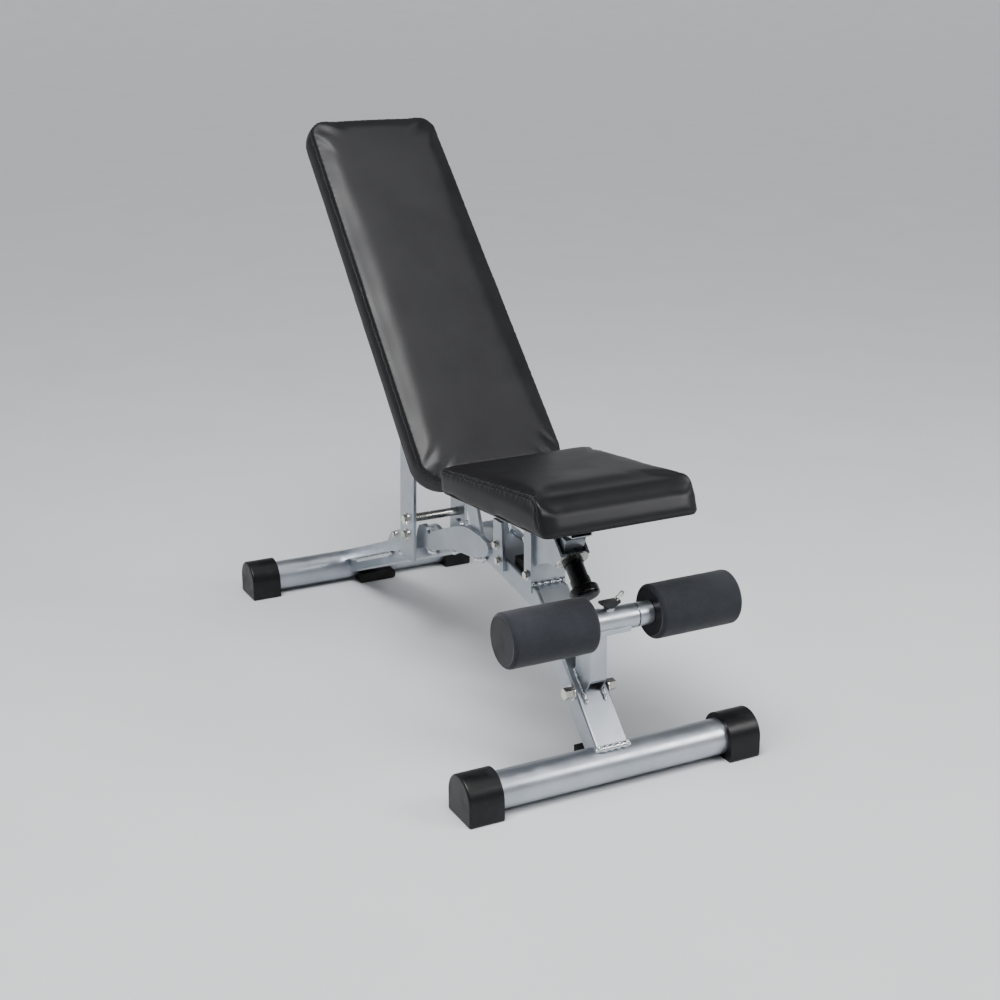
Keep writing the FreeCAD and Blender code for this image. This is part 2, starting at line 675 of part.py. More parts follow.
def strut_point(along, across):
    y = STRUT_TOP[0] + strut_dir[0] * along + strut_side[0] * across
    z = STRUT_TOP[1] + strut_dir[1] * along + strut_side[1] * across
    return (y, z)


LOWER_BOLT_Y = 32.0        # below the rod


def strut_bar(side):
    x0 = STRUT_IN if side > 0 else -STRUT_IN - STRUT_T
    half = STRUT_W / 2
    end = strut_run + STRUT_BELOW
    outline = [strut_point(-half, -half), strut_point(-half, half), strut_point(end, half), strut_point(end, -half)]
    bar = plate(outline,
                x0, x0 + STRUT_T)
    long_edges = [e for e in bar.Edges if abs(e.Length - STRUT_T) < 0.01]
    low = [e for e in long_edges if e.CenterOfMass.z < ROD[1]]
    high = [e for e in long_edges if e.CenterOfMass.z > ROD[1]]
    bar = bar.makeFillet(half - 0.5, high)
    low = [e for e in bar.Edges if e.CenterOfMass.z < ROD[1] and e.BoundBox.XLength > STRUT_T - 0.01
           and abs(e.Length - STRUT_T) < 0.01]
    bar = bar.makeFillet(8.0, low)
    return bar.cut(rod_x(STRUT_TOP, PIVOT_BOLT_R, -80, 80)).cut(rod_x(ROD, ROD_R, -80, 80))


keep("strut_left", strut_bar(-1))
keep("strut_right", strut_bar(1))
strut_out = STRUT_IN + STRUT_T
keep("strut_rod", rod_x(ROD, ROD_R, -strut_out, strut_out))
keep("strut_pivot_bolt", fuse(
    rod_x(STRUT_TOP, PIVOT_BOLT_R, -strut_out, strut_out),
    hex_bolt(STRUT_TOP, -strut_out, -1), hex_bolt(STRUT_TOP, strut_out, 1)))
bolt_heads = []
for centre in (ROD, strut_point(strut_run + LOWER_BOLT_Y, 0)):
    for side in (-1, 1):
        bolt_heads.append(hex_bolt(centre, side * strut_out, side))
keep("strut_bolts", group(bolt_heads))

# ---- leg rollers --------------------------------------------------------------------

bar_x0 = ROLLER_X[0] + OUTER_PLUG + GAP
bar_x1 = ROLLER_X[1] + ROLLER_LENGTH - OUTER_PLUG - GAP
lock_top = BAR[1] + SLEEVE_R
lock_bore = Part.makeCylinder(LOCK_PIN_R + RUN, 60, V(LOCK_X, BAR[0], BAR[1] - 4), V(0, 0, 1))
keep("roller_bar", rod_x(BAR, BAR_R, bar_x0, bar_x1).cut(lock_bore))
lock_boss = Part.makeCylinder(LOCK_BOSS_R, SLEEVE_R + 2.0, V(LOCK_X, BAR[0], BAR[1]), V(0, 0, 1))
lock_boss = lock_boss.cut(rod_x(BAR, BAR_R + 1, -60, 60))
sleeve = fuse(sleeve_x(BAR, SLEEVE_R, BAR_R, *SLEEVE_X), lock_boss)
keep("roller_sleeve", sleeve.cut(lock_bore))
keep("roller_collar", sleeve_x(BAR, COLLAR_R, BAR_R, SLEEVE_X[1] + COLLAR_GROOVE, ROLLER_X[1] - GAP))


def foam(x0):
    body = rod_x(BAR, ROLLER_R, x0, x0 + ROLLER_LENGTH)
    rims = [e for e in body.Edges if e.BoundBox.XLength < 0.01]
    body = body.makeFillet(FOAM_EDGE, rims)
    body = body.cut(rod_x(BAR, CORE_R, x0 - 1, x0 + ROLLER_LENGTH + 1))
    for edge_x in (x0, x0 + ROLLER_LENGTH - DISC_T):
        body = body.cut(rod_x(BAR, DISC_R, edge_x, edge_x + DISC_T))
    return body


def roller_core(x0):
    core = rod_x(BAR, CORE_R, x0, x0 + ROLLER_LENGTH)
    discs = [rod_x(BAR, DISC_R, x, x + DISC_T) for x in (x0, x0 + ROLLER_LENGTH - DISC_T)]
    bore_x0 = x0 - 1 if x0 > 0 else x0 + OUTER_PLUG
    return fuse(core, *discs).cut(rod_x(BAR, BAR_R + RUN, bore_x0, bore_x0 + ROLLER_LENGTH - OUTER_PLUG + 1))


for word, x0 in (("left", ROLLER_X[0]), ("right", ROLLER_X[1])):
    keep(f"roller_foam_{word}", foam(x0))
    keep(f"roller_core_{word}", roller_core(x0))

post, post_filled = straight_tube(
    ((POST_Y[0] + POST_Y[1]) / 2, 90.0), ((POST_Y[0] + POST_Y[1]) / 2, POST_TOP),
    POST_X, (POST_Y[1] - POST_Y[0]) / 2, POST_WALL, 4.0)
MOUTH = ((37.5, 158.0), (54.0, 131.3))   # the post's front corner is cut off below this line
mouth_dir = (MOUTH[1][0] - MOUTH[0][0], MOUTH[1][1] - MOUTH[0][1])
mouth = half_space(MOUTH[0], (mouth_dir[1], -mouth_dir[0]))
below_leg_face = half_space((0.0, LEG_LINE_Z + TUBE_H / 2 / diagonal), (1.0, -1.0))
keep("roller_post", trim(post, mouth, below_leg_face))

sleeve_hole = rod_x(BAR, SLEEVE_R, -80, 80)
cradle_side = plate([(-15.0, 263.0), (-12.5, 255.5), (30.0, 236.0), (37.5, 234.0), (POST_Y[0], POST_TOP),
                     (POST_Y[1], POST_TOP), (POST_Y[1], POST_TOP + 4), (34.0, POST_TOP + 6), (24.0, 262.0),
                     (0.0, 270.0)], -60, 60)
cradle_wide = 29.0
cradle_front = Part.Face(Part.makePolygon([
    V(LOCK_X - cradle_wide, -60, 285), V(LOCK_X + cradle_wide, -60, 285), V(LOCK_X + cradle_wide, -60, 256),
    V(POST_X, -60, 235), V(POST_X, -60, 220), V(-POST_X, -60, 220), V(-POST_X, -60, 235),
    V(LOCK_X - cradle_wide, -60, 256), V(LOCK_X - cradle_wide, -60, 285)])).extrude(V(0, 200, 0))
keep("roller_cradle", cradle_side.common(cradle_front).cut(sleeve_hole))

# ---- roller lock pin ------------------------------------------------------------------

LOCK_KNOB_Z = lock_top + 2.5
LOCK_PIN_TIP = 2.5         # how far the pin goes below the bar's axis
lock_shaft = Part.makeCylinder(
    LOCK_PIN_R, LOCK_KNOB_Z - BAR[1] + LOCK_PIN_TIP, V(LOCK_X, BAR[0], BAR[1] - LOCK_PIN_TIP), V(0, 0, 1))
keep("lock_pin_shaft", lock_shaft)
KNOB_HALF = 16.0
KNOB_FOOT = 6.0
KNOB_H = 10.0
KNOB_TIP_H = 4.0
KNOB_DEPTH = 14.0
knob_outline = [(-KNOB_HALF, KNOB_H), (KNOB_HALF, KNOB_H), (KNOB_HALF, KNOB_H - KNOB_TIP_H), (KNOB_FOOT, 0.0),
                (-KNOB_FOOT, 0.0), (-KNOB_HALF, KNOB_H - KNOB_TIP_H), (-KNOB_HALF, KNOB_H)]
knob_wire = Part.makePolygon([V(LOCK_X + x, BAR[0] - KNOB_DEPTH / 2, LOCK_KNOB_Z + z) for x, z in knob_outline])
keep("lock_pin_knob", Part.Face(knob_wire).extrude(V(0, KNOB_DEPTH, 0)).cut(lock_shaft))
BAIL_R = 1.3
BAIL_W = 8.0
BAIL_LENGTH = 18.0
bail_foot = V(LOCK_X + 10, BAR[0] - BAIL_W / 2, LOCK_KNOB_Z + KNOB_H - 2)
bail_dir = V(0.75, 0, 0.66).normalize()
bail_side = Part.makeCylinder(BAIL_R, BAIL_LENGTH + BAIL_R, bail_foot, bail_dir)
bail_twin = bail_side.translated(V(0, BAIL_W, 0))
bail_loop = Part.makeCylinder(BAIL_R, BAIL_W, bail_foot + bail_dir * BAIL_LENGTH, V(0, 1, 0))
keep("lock_pin_bail", fuse(bail_side, bail_twin, bail_loop).cut(PARTS["lock_pin_knob"].translated(
    V(0, FOOT_SPACING / 2, 0))))

# ---- rubber stops, welds and frame bolts -------------------------------------------------

STOP_X = 20.0
STOP_Y = (240.0, 282.0)
STOP_TOP = 292.0
BUMPER_X = 30.0
FRONT_BUMPER_Y = (18.0, 60.0)
FRONT_BUMPER_Z = (4.0, 44.0)
REAR_BUMPER_X = (-12.0, 66.0)
REAR_BUMPER_Y = (998.0, 1030.0)
REAR_BUMPER_Z = (1.0, 20.0)
REAR_BUMPER_ROUND = 7.0


def block(half_x, y, z):
    return Part.makeBox(2 * half_x, y[1] - y[0], z[1] - z[0], V(-half_x, y[0], z[0]))


beam_drop = TUBE_H / math.cos(math.atan(BEAM_SLOPE))
under_beam = half_space(over_beam(REAR_BUMPER_Y[0], -beam_drop), (-BEAM_SLOPE, 1.0))
rail_stop = trim(block(STOP_X, STOP_Y, (255.0, STOP_TOP)), beam_filled)
front_bumper = trim(block(BUMPER_X, FRONT_BUMPER_Y, FRONT_BUMPER_Z), leg_filled, front_foot)
front_bumper = max(front_bumper.Solids, key=lambda piece: piece.Volume)
rear_bumper = block((REAR_BUMPER_X[1] - REAR_BUMPER_X[0]) / 2, REAR_BUMPER_Y, REAR_BUMPER_Z)
rear_bumper.translate(V(sum(REAR_BUMPER_X) / 2, 0, 0))
bumper_end = [e for e in rear_bumper.Edges
              if e.BoundBox.XMin > REAR_BUMPER_X[1] - 0.01 and e.BoundBox.YLength > e.BoundBox.ZLength]
rear_bumper = rear_bumper.makeFillet(REAR_BUMPER_ROUND, bumper_end)
rear_bumper = trim(rear_bumper, rear_foot, under_beam)
rear_bumper = max(rear_bumper.Solids, key=lambda piece: piece.Volume)
keep("rubber_stops", group([rail_stop, front_bumper, rear_bumper]))

# Each bead is a run of weld between two points, with its radius.
leg_face = LEG_LINE_Z + TUBE_H / 2 / diagonal
TOE_BEAD = ((-27, LEG_TOE_Y - 1, 64.0), (27, LEG_TOE_Y - 1, 64.0), 4.5)
POST_BEAD_Y = (44.0, 84.0)
POST_BEAD_R = 3.5
BRACKET_BEAD = ((-28, CHANNEL_Y[0], 269.0), (28, CHANNEL_Y[0], 269.0), 3.5)
weld_shapes = [trim(bead(*TOE_BEAD), leg_filled, front_foot)]
for side in (-1, 1):
    run = [(side * POST_X, y, y + leg_face) for y in POST_BEAD_Y]
    weld_shapes.append(trim(bead(*run, POST_BEAD_R), leg_filled, post_filled))
bracket = PARTS["seat_bracket"].translated(V(0, FOOT_SPACING / 2, 0))
weld_shapes.append(trim(bead(*BRACKET_BEAD), leg_filled, beam_filled, bracket))
keep("welds_front", group(weld_shapes))

LADDER_OUT = TUBE_X + LADDER_T
LADDER_BEAD_X = TUBE_X + 2.0
LADDER_BEAD_R = 4.5
LADDER_BEADS = (           # along the ladder plates' lower edge
    ((370.0, 262.2), (408.0, 251.4)),
    ((479.0, 240.6), (498.0, 236.9)),
    ((572.0, 210.0), (600.0, 207.6)),
    (over_beam(694, -19), over_beam(736, -17)),
    (over_beam(786, -15), over_beam(956, -14)),
)
ladder_welds = []
for side in (-1, 1):
    ladder = PARTS["ladder_plate_left" if side < 0 else "ladder_plate_right"]
    ladder = ladder.translated(V(0, FOOT_SPACING / 2, 0))
    for first, last in LADDER_BEADS:
        weld = bead((side * LADDER_BEAD_X,) + first, (side * LADDER_BEAD_X,) + last, LADDER_BEAD_R)
        ladder_welds.append(trim(weld, beam_filled, ladder))
keep("welds_ladder", group(ladder_welds))

frame_bolts = []
for side in (-1, 1):
    frame_bolts.append(hex_bolt((67.0, 132.0), side * TUBE_X, side, r=10.0, height=14.0, washer=12.5))
    frame_bolts.append(hex_bolt((748.0, 190.0), side * LADDER_OUT, side, r=6.0, height=3.0, washer=7.5))
    frame_bolts.append(hex_bolt((312.0, 276.0), side * rear_out, side, r=6.5, height=4.0, washer=8.0))
    frame_bolts.append(hex_bolt((320.0, 302.0), side * rear_out, side, r=6.5, height=4.0, washer=8.0))
    frame_bolts.append(hex_bolt((217.0, 281.0), side * CHANNEL_X, side, r=7.0, height=4.0, washer=9.0))
BRACKET_BOLT_Z = 318.0
BRACKET_BOLT_R = 8.0
BRACKET_WASHER_R = 9.5
BRACKET_WASHER_T = 1.8
BRACKET_HEAD_T = 6.0
washer_face = CHANNEL_Y[0] - BRACKET_WASHER_T
bracket_washer = Part.makeCylinder(
    BRACKET_WASHER_R, BRACKET_WASHER_T, V(0, CHANNEL_Y[0], BRACKET_BOLT_Z), V(0, -1, 0))
hexagon = []
for i in range(7):
    a = math.radians(60 * i)
    hexagon.append(V(BRACKET_BOLT_R * math.cos(a), washer_face, BRACKET_BOLT_Z + BRACKET_BOLT_R * math.sin(a)))
bracket_head = Part.Face(Part.makePolygon(hexagon)).extrude(V(0, -BRACKET_HEAD_T, 0))
frame_bolts.append(fuse(bracket_washer, bracket_head))
keep("frame_bolts", group(frame_bolts))

# ---- export ----------------------------------------------------------------------------

os.makedirs("parts", exist_ok=True)
for name, shape in PARTS.items():
    shape.exportStep(os.path.join("parts", name + ".step"))
    print(name, len(shape.Solids), "solids", round(shape.Volume / 1000.0, 2), "cm3", "valid", shape.isValid())
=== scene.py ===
"""Looks for the adjustable weight bench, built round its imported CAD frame."""
import json
import math
import random

import bmesh
import bpy
import numpy as np
from mathutils import Matrix, Vector, noise
from mathutils.bvhtree import BVHTree


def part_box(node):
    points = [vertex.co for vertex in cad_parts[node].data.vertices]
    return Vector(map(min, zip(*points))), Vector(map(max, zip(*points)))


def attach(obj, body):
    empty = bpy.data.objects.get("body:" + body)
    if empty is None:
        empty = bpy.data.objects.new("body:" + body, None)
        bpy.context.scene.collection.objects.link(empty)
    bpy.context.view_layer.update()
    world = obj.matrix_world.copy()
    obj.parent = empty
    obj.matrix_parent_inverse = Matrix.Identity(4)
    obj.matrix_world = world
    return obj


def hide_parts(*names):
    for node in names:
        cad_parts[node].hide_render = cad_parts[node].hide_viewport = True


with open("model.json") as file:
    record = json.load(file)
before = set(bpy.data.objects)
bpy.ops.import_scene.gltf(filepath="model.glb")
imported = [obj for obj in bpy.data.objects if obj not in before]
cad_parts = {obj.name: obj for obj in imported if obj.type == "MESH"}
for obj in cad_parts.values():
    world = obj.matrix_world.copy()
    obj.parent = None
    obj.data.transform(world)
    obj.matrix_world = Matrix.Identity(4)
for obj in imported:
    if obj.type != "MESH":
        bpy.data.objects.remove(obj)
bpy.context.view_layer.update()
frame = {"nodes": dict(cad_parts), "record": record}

NODES = frame["nodes"]

# ---- camera ------------------------------------------------------------------

CAMERA_AT = Vector((-1.188, -2.483, 1.203))
YAW = 0.4701
PITCH = 0.3111
ROLL = -0.0042
LENS = 57.96
SENSOR = 36.0
CLIP_START, CLIP_END = 0.05, 200.0


def make_camera():
    """The camera, from its place, its three angles and its lens."""
    forward = Vector((math.sin(YAW) * math.cos(PITCH), math.cos(YAW) * math.cos(PITCH),
                      -math.sin(PITCH)))
    right = Vector((math.cos(YAW), -math.sin(YAW), 0.0))
    up = right.cross(forward)
    r = right * math.cos(ROLL) + up * math.sin(ROLL)
    u = up * math.cos(ROLL) - right * math.sin(ROLL)
    data = bpy.data.cameras.new("camera")
    data.lens = LENS
    data.sensor_width = SENSOR
    data.clip_start, data.clip_end = CLIP_START, CLIP_END
    cam = bpy.data.objects.new("camera", data)
    bpy.context.scene.collection.objects.link(cam)
    cam.matrix_world = Matrix(((r.x, u.x, -forward.x, CAMERA_AT.x),
                               (r.y, u.y, -forward.y, CAMERA_AT.y),
                               (r.z, u.z, -forward.z, CAMERA_AT.z),
                               (0, 0, 0, 1)))
    bpy.context.scene.camera = cam


make_camera()

# ---- materials ---------------------------------------------------------------


class Nodes:
    """A small wrapper that adds shader nodes and links them."""

    def __init__(self, name):
        self.mat = bpy.data.materials.new(name)
        self.mat.use_nodes = True
        self.tree = self.mat.node_tree
        self.shader = self.tree.nodes["Principled BSDF"]
        self.coords = self.tree.nodes.new("ShaderNodeTexCoord").outputs["Object"]

    def add(self, kind, **sockets):
        """A new node with some of its sockets set or linked."""
        node = self.tree.nodes.new(kind)
        for key, value in sockets.items():
            self.put(node, key.replace("_", " "), value)
        return node

    def put(self, node, key, value):
        socket = node.inputs[key]
        if isinstance(value, bpy.types.NodeSocket):
            self.tree.links.new(value, socket)
        else:
            socket.default_value = value

    def set(self, **sockets):
        """Sets or links sockets of the material's own shader."""
        for key, value in sockets.items():
            self.put(self.shader, key.replace("_", " "), value)

    def noise(self, scale, detail, roughness=0.55, vector=None, distortion=0.0):
        node = self.add("ShaderNodeTexNoise", Scale=scale, Detail=detail, Roughness=roughness,
                        Distortion=distortion)
        self.put(node, "Vector", vector or self.coords)
        return node.outputs["Fac"]

    def voronoi(self, scale, feature="F1"):
        node = self.add("ShaderNodeTexVoronoi")
        node.feature = feature
        self.put(node, "Scale", scale)
        self.put(node, "Vector", self.coords)
        return node.outputs["Distance"]

    def ramp(self, value, low, high, a=0.0, b=1.0):
        """The value's range from low to high stretched over a to b."""
        node = self.add("ShaderNodeMapRange")
        self.put(node, "Value", value)
        for key, number in (("From Min", low), ("From Max", high), ("To Min", a), ("To Max", b)):
            self.put(node, key, number)
        return node.outputs["Result"]

    def math(self, operation, a, b):
        node = self.tree.nodes.new("ShaderNodeMath")
        node.operation = operation
        self.put(node, 0, a)
        self.put(node, 1, b)
        return node.outputs[0]

    def colour(self, value, a, b):
        """A mix of two colours by a value."""
        node = self.tree.nodes.new("ShaderNodeMix")
        node.data_type = "RGBA"
        self.tree.links.new(value, node.inputs["Factor"])
        colour_a, colour_b, mixed = 6, 7, 2
        node.inputs[colour_a].default_value = (*a, 1.0)
        node.inputs[colour_b].default_value = (*b, 1.0)
        return node.outputs[mixed]

    def bump(self, height, strength, distance, normal=None):
        node = self.add("ShaderNodeBump", Strength=strength, Distance=distance)
        self.put(node, "Height", height)
        if normal is not None:
            self.put(node, "Normal", normal)
        return node.outputs["Normal"]

    def stretched(self, x, y, z):
        """The object's coordinates, scaled along each axis."""
        node = self.add("ShaderNodeMapping")
        self.put(node, "Vector", self.coords)
        node.inputs["Scale"].default_value = (x, y, z)
        return node.outputs["Vector"]


def frame_paint():
    """Silver metallic powder coat: fine peel, faint clouding, dulled patches."""
    m = Nodes("frame_paint")
    clouds = m.noise(9.0, 4.0)
    fleck = m.noise(2600.0, 1.0)
    tone = m.ramp(m.math("ADD", clouds, m.math("MULTIPLY", fleck, 0.35)), 0.45, 0.95)
    m.set(Base_Color=m.colour(tone, (0.42, 0.45, 0.49), (0.58, 0.61, 0.65)), Metallic=0.92,
          Roughness=m.ramp(m.noise(38.0, 5.0), 0.3, 0.75, 0.30, 0.44))
    m.set(Coat_Weight=0.25, Coat_Roughness=0.22)
    rounded = m.add("ShaderNodeBevel", Radius=0.0012)
    rounded.samples = 4
    peel = m.noise(620.0, 2.0)
    m.set(Normal=m.bump(peel, 0.10, 0.0004, rounded.outputs["Normal"]))
    return m.mat


def zinc():
    """Bright zinc plating: slightly streaked, with a warm tint."""
    m = Nodes("zinc_steel")
    streak = m.noise(240.0, 4.0, vector=m.stretched(1.0, 0.25, 0.25))
    m.set(Base_Color=m.colour(streak, (0.66, 0.65, 0.60), (0.88, 0.87, 0.84)), Metallic=1.0,
          Roughness=m.ramp(m.noise(90.0, 5.0), 0.3, 0.7, 0.16, 0.34))
    m.set(Normal=m.bump(streak, 0.12, 0.0003))
    return m.mat


def cap_plastic():
    """Black moulded end cap: fine spark texture and scuffed patches."""
    m = Nodes("cap_plastic")
    scuff = m.ramp(m.noise(26.0, 6.0, 0.65), 0.5, 0.72)
    m.set(Base_Color=m.colour(scuff, (0.010, 0.010, 0.011), (0.026, 0.026, 0.028)),
          Roughness=m.ramp(scuff, 0.0, 1.0, 0.34, 0.55))
    grain = m.noise(1500.0, 2.0)
    m.set(Normal=m.bump(grain, 0.16, 0.0004), Specular_IOR_Level=0.45)
    return m.mat


def knob_plastic():
    """Glossy black plastic with faint swirl marks."""
    m = Nodes("knob_plastic")
    swirl = m.noise(60.0, 5.0, 0.6, distortion=1.2)
    m.set(Base_Color=m.colour(swirl, (0.006, 0.006, 0.007), (0.016, 0.016, 0.018)),
          Roughness=m.ramp(swirl, 0.3, 0.7, 0.16, 0.30))
    m.set(Normal=m.bump(m.noise(420.0, 2.0), 0.06, 0.0003), Coat_Weight=0.3, Coat_Roughness=0.1)
    return m.mat


def rubber():
    """Matt black rubber with a little dust."""
    m = Nodes("stop_rubber")
    dust = m.ramp(m.noise(34.0, 6.0), 0.42, 0.75)
    m.set(Base_Color=m.colour(dust, (0.010, 0.010, 0.010), (0.035, 0.034, 0.032)), Roughness=0.72)
    m.set(Normal=m.bump(m.noise(900.0, 3.0), 0.35, 0.0005))
    return m.mat


CREASE_SCALE = 0.42        # the creases' cells to the grain's cells


def vinyl(name, rough_low, rough_high, grain_scale, dark, light):
    """Black upholstery vinyl: pebbled grain, fine creases, soft wear."""
    m = Nodes(name)
    wear = m.noise(5.5, 5.0, 0.6)
    pores = m.voronoi(grain_scale, "SMOOTH_F1")
    crease = m.voronoi(grain_scale * CREASE_SCALE, "DISTANCE_TO_EDGE")
    tone = m.math("ADD", wear, m.math("MULTIPLY", pores, 0.25))
    m.set(Base_Color=m.colour(m.ramp(tone, 0.35, 0.85), dark, light))
    gloss = m.ramp(m.math("ADD", m.noise(11.0, 4.0), m.math("MULTIPLY", pores, 0.3)), 0.4, 0.85,
                   rough_low, rough_high)
    m.set(Roughness=gloss, Specular_IOR_Level=0.5)
    fine = m.bump(m.noise(1900.0, 2.0), 0.10, 0.0002)
    pebble = m.bump(pores, 0.30, 0.0005, fine)
    m.set(Normal=m.bump(m.ramp(crease, 0.0, 0.12), 0.16, 0.0004, pebble))
    return m.mat


def foam_skin():
    """Charcoal foam: open speckle, faint rings from cutting, dusty highs."""
    m = Nodes("foam")
    cells = m.voronoi(900.0)
    blotch = m.noise(22.0, 5.0, 0.6)
    tone = m.math("ADD", m.math("MULTIPLY", cells, 0.6), m.math("MULTIPLY", blotch, 0.6))
    m.set(Base_Color=m.colour(m.ramp(tone, 0.3, 0.9), (0.017, 0.019, 0.023), (0.046, 0.050, 0.060)),
          Roughness=0.82, Sheen_Weight=0.25, Sheen_Roughness=0.5, Specular_IOR_Level=0.25)
    rings = m.noise(160.0, 2.0, vector=m.stretched(1.0, 0.12, 0.12))
    base = m.bump(rings, 0.10, 0.0006)
    m.set(Normal=m.bump(cells, 0.45, 0.0006, base))
    return m.mat


def board_cover():
    """The backing board's stapled black lining: a fine non-woven weave."""
    m = Nodes("board_lining")
    warp = m.add("ShaderNodeTexWave", Scale=420.0, Distortion=2.0)
    m.put(warp, "Vector", m.coords)
    weft = m.add("ShaderNodeTexWave", Scale=420.0, Distortion=2.0)
    weft.bands_direction = "Y"
    m.put(weft, "Vector", m.coords)
    weave = m.math("MULTIPLY", warp.outputs["Fac"], weft.outputs["Fac"])
    tone = m.math("ADD", m.math("MULTIPLY", weave, 0.5), m.math("MULTIPLY", m.noise(30.0, 5.0), 0.5))
    m.set(Base_Color=m.colour(m.ramp(tone, 0.2, 0.8), (0.008, 0.008, 0.008), (0.028, 0.028, 0.029)),
          Roughness=0.85, Sheen_Weight=0.2)
    m.set(Normal=m.bump(weave, 0.4, 0.0004))
    return m.mat


def thread():
    """Twisted black sewing thread."""
    m = Nodes("stitch_thread")
    twist = m.noise(3200.0, 2.0)
    m.set(Base_Color=m.colour(twist, (0.012, 0.012, 0.013), (0.05, 0.05, 0.052)), Roughness=0.55,
          Sheen_Weight=0.4)
    m.set(Normal=m.bump(twist, 0.4, 0.0003))
    return m.mat


def weld_glint_paint():
    """The silver coat pooled thick and glossy over the weld ripples; its silver is lighter than the
    frame's paint, a painted glint.
    """
    m = Nodes("weld_glint_paint")
    spatter = m.noise(420.0, 4.0)
    # painted highlight: both silvers are lighter than the frame paint's, standing in for the beads'
    # glints
    m.set(Base_Color=m.colour(spatter, (0.58, 0.60, 0.63), (0.80, 0.82, 0.84)), Metallic=0.95,
          Roughness=m.ramp(spatter, 0.3, 0.7, 0.14, 0.30))
    m.set(Normal=m.bump(m.noise(300.0, 3.0), 0.35, 0.0006))
    return m.mat


VINYL_GRAIN = 950.0
VINYL_BLACK = (0.009, 0.009, 0.010)

MATERIALS = {
    "frame_paint": frame_paint(),
    "zinc_steel": zinc(),
    "cap_plastic": cap_plastic(),
    "knob_plastic": knob_plastic(),
    "stop_rubber": rubber(),
    "seat_vinyl": vinyl("seat_vinyl", 0.30, 0.44, VINYL_GRAIN, VINYL_BLACK, (0.020, 0.020, 0.022)),
    "back_vinyl": vinyl("back_vinyl", 0.36, 0.50, VINYL_GRAIN, VINYL_BLACK, (0.019, 0.019, 0.021)),
    "foam": foam_skin(),
    "board_wood": board_cover(),
}
THREAD = thread()
# the weld beads' material, with a painted glint in its lighter silver
WELD_GLINT = weld_glint_paint()

for part in frame["record"]["subparts"]:
    node = NODES[part["node"]]
    node.data.materials.clear()
    node.data.materials.append(MATERIALS[part["material_slot"]])

# ---- new pieces --------------------------------------------------------------


def new_piece(name, mesh, body, slot, material=None):
    """A smooth-shaded object for a mesh, riding on a body."""
    obj = bpy.data.objects.new(name, mesh)
    bpy.context.scene.collection.objects.link(obj)
    mesh.materials.clear()
    mesh.materials.append(material or MATERIALS[slot])
    for p in mesh.polygons:
        p.use_smooth = True
    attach(obj, body)
    return obj


# ---- soft goods --------------------------------------------------------------

FRONT_AXIS_Y = -0.521      # bench millimetres are measured from the front foot's axis
MM = 1000
TINY = 1e-9
X_AXIS = np.array((1.0, 0.0, 0.0))


def bench(y, z):
    """A point in metres, on the middle plane, from side-view millimetres."""
    return np.array((0.0, FRONT_AXIS_Y + y / MM, z / MM))


def unit(v):
    return v / np.linalg.norm(v)


class Face:
    """A flat face: a point on it and its outward direction."""

    def __init__(self, point, normal):
        self.point = np.asarray(point, float)
        self.normal = np.asarray(normal, float) / np.linalg.norm(normal)

    def depth(self, co):
        """How far inside the face points are."""
        return -(co - self.point) @ self.normal


def round_edges(co, edges):
    """Pull the points near each edge onto a fillet between its two faces."""
    for first, second, radius in edges:
        u = radius - first.depth(co)
        v = radius - second.depth(co)
        reach = np.hypot(u, v)
        over = (u > 0) & (v > 0) & (reach > radius)
        back = np.where(over, 1.0 - radius / np.maximum(reach, TINY), 0.0)
        co = co - np.outer(u * back, first.normal) - np.outer(v * back, second.normal)
    return co


def get_co(mesh):
    flat = np.empty(len(mesh.vertices) * 3)
    mesh.vertices.foreach_get("co", flat)
    return flat.reshape(-1, 3)


def put_co(mesh, co):
    mesh.vertices.foreach_set("co", np.asarray(co, float).ravel())
    mesh.update()


def get_normals(mesh):
    flat = np.empty(len(mesh.vertices) * 3)
    mesh.vertices.foreach_get("normal", flat)
    return flat.reshape(-1, 3)


def evaluated(obj):
    """The object's mesh with its modifiers applied."""
    graph = bpy.context.evaluated_depsgraph_get()
    return bpy.data.meshes.new_from_object(obj.evaluated_get(graph))


def relax(mesh, rounds):
    """Laplacian smoothing over the mesh's own edges, half way each round."""
    pairs = np.empty(len(mesh.edges) * 2, int)
    mesh.edges.foreach_get("vertices", pairs)
    a, b = pairs.reshape(-1, 2).T
    co = get_co(mesh)
    count = np.bincount(np.concatenate((a, b)), minlength=len(co))[:, None]
    for _ in range(rounds):
        total = np.zeros_like(co)
        np.add.at(total, a, co[b])
        np.add.at(total, b, co[a])
        co = co + (total / np.maximum(count, 1) - co) * 0.5
    put_co(mesh, co)


def with_modifier(mesh, kind, **settings):
    """The mesh after one modifier."""
    obj = bpy.data.objects.new("shaping", mesh)
    bpy.context.scene.collection.objects.link(obj)
    modifier = obj.modifiers.new("shaping", kind)
    for key, value in settings.items():
        setattr(modifier, key, value)
    result = evaluated(obj)
    bpy.data.objects.remove(obj)
    return result


PRESSURE = 4.0
CLOTH_FRAMES = 20
CLOTH_QUALITY = 4


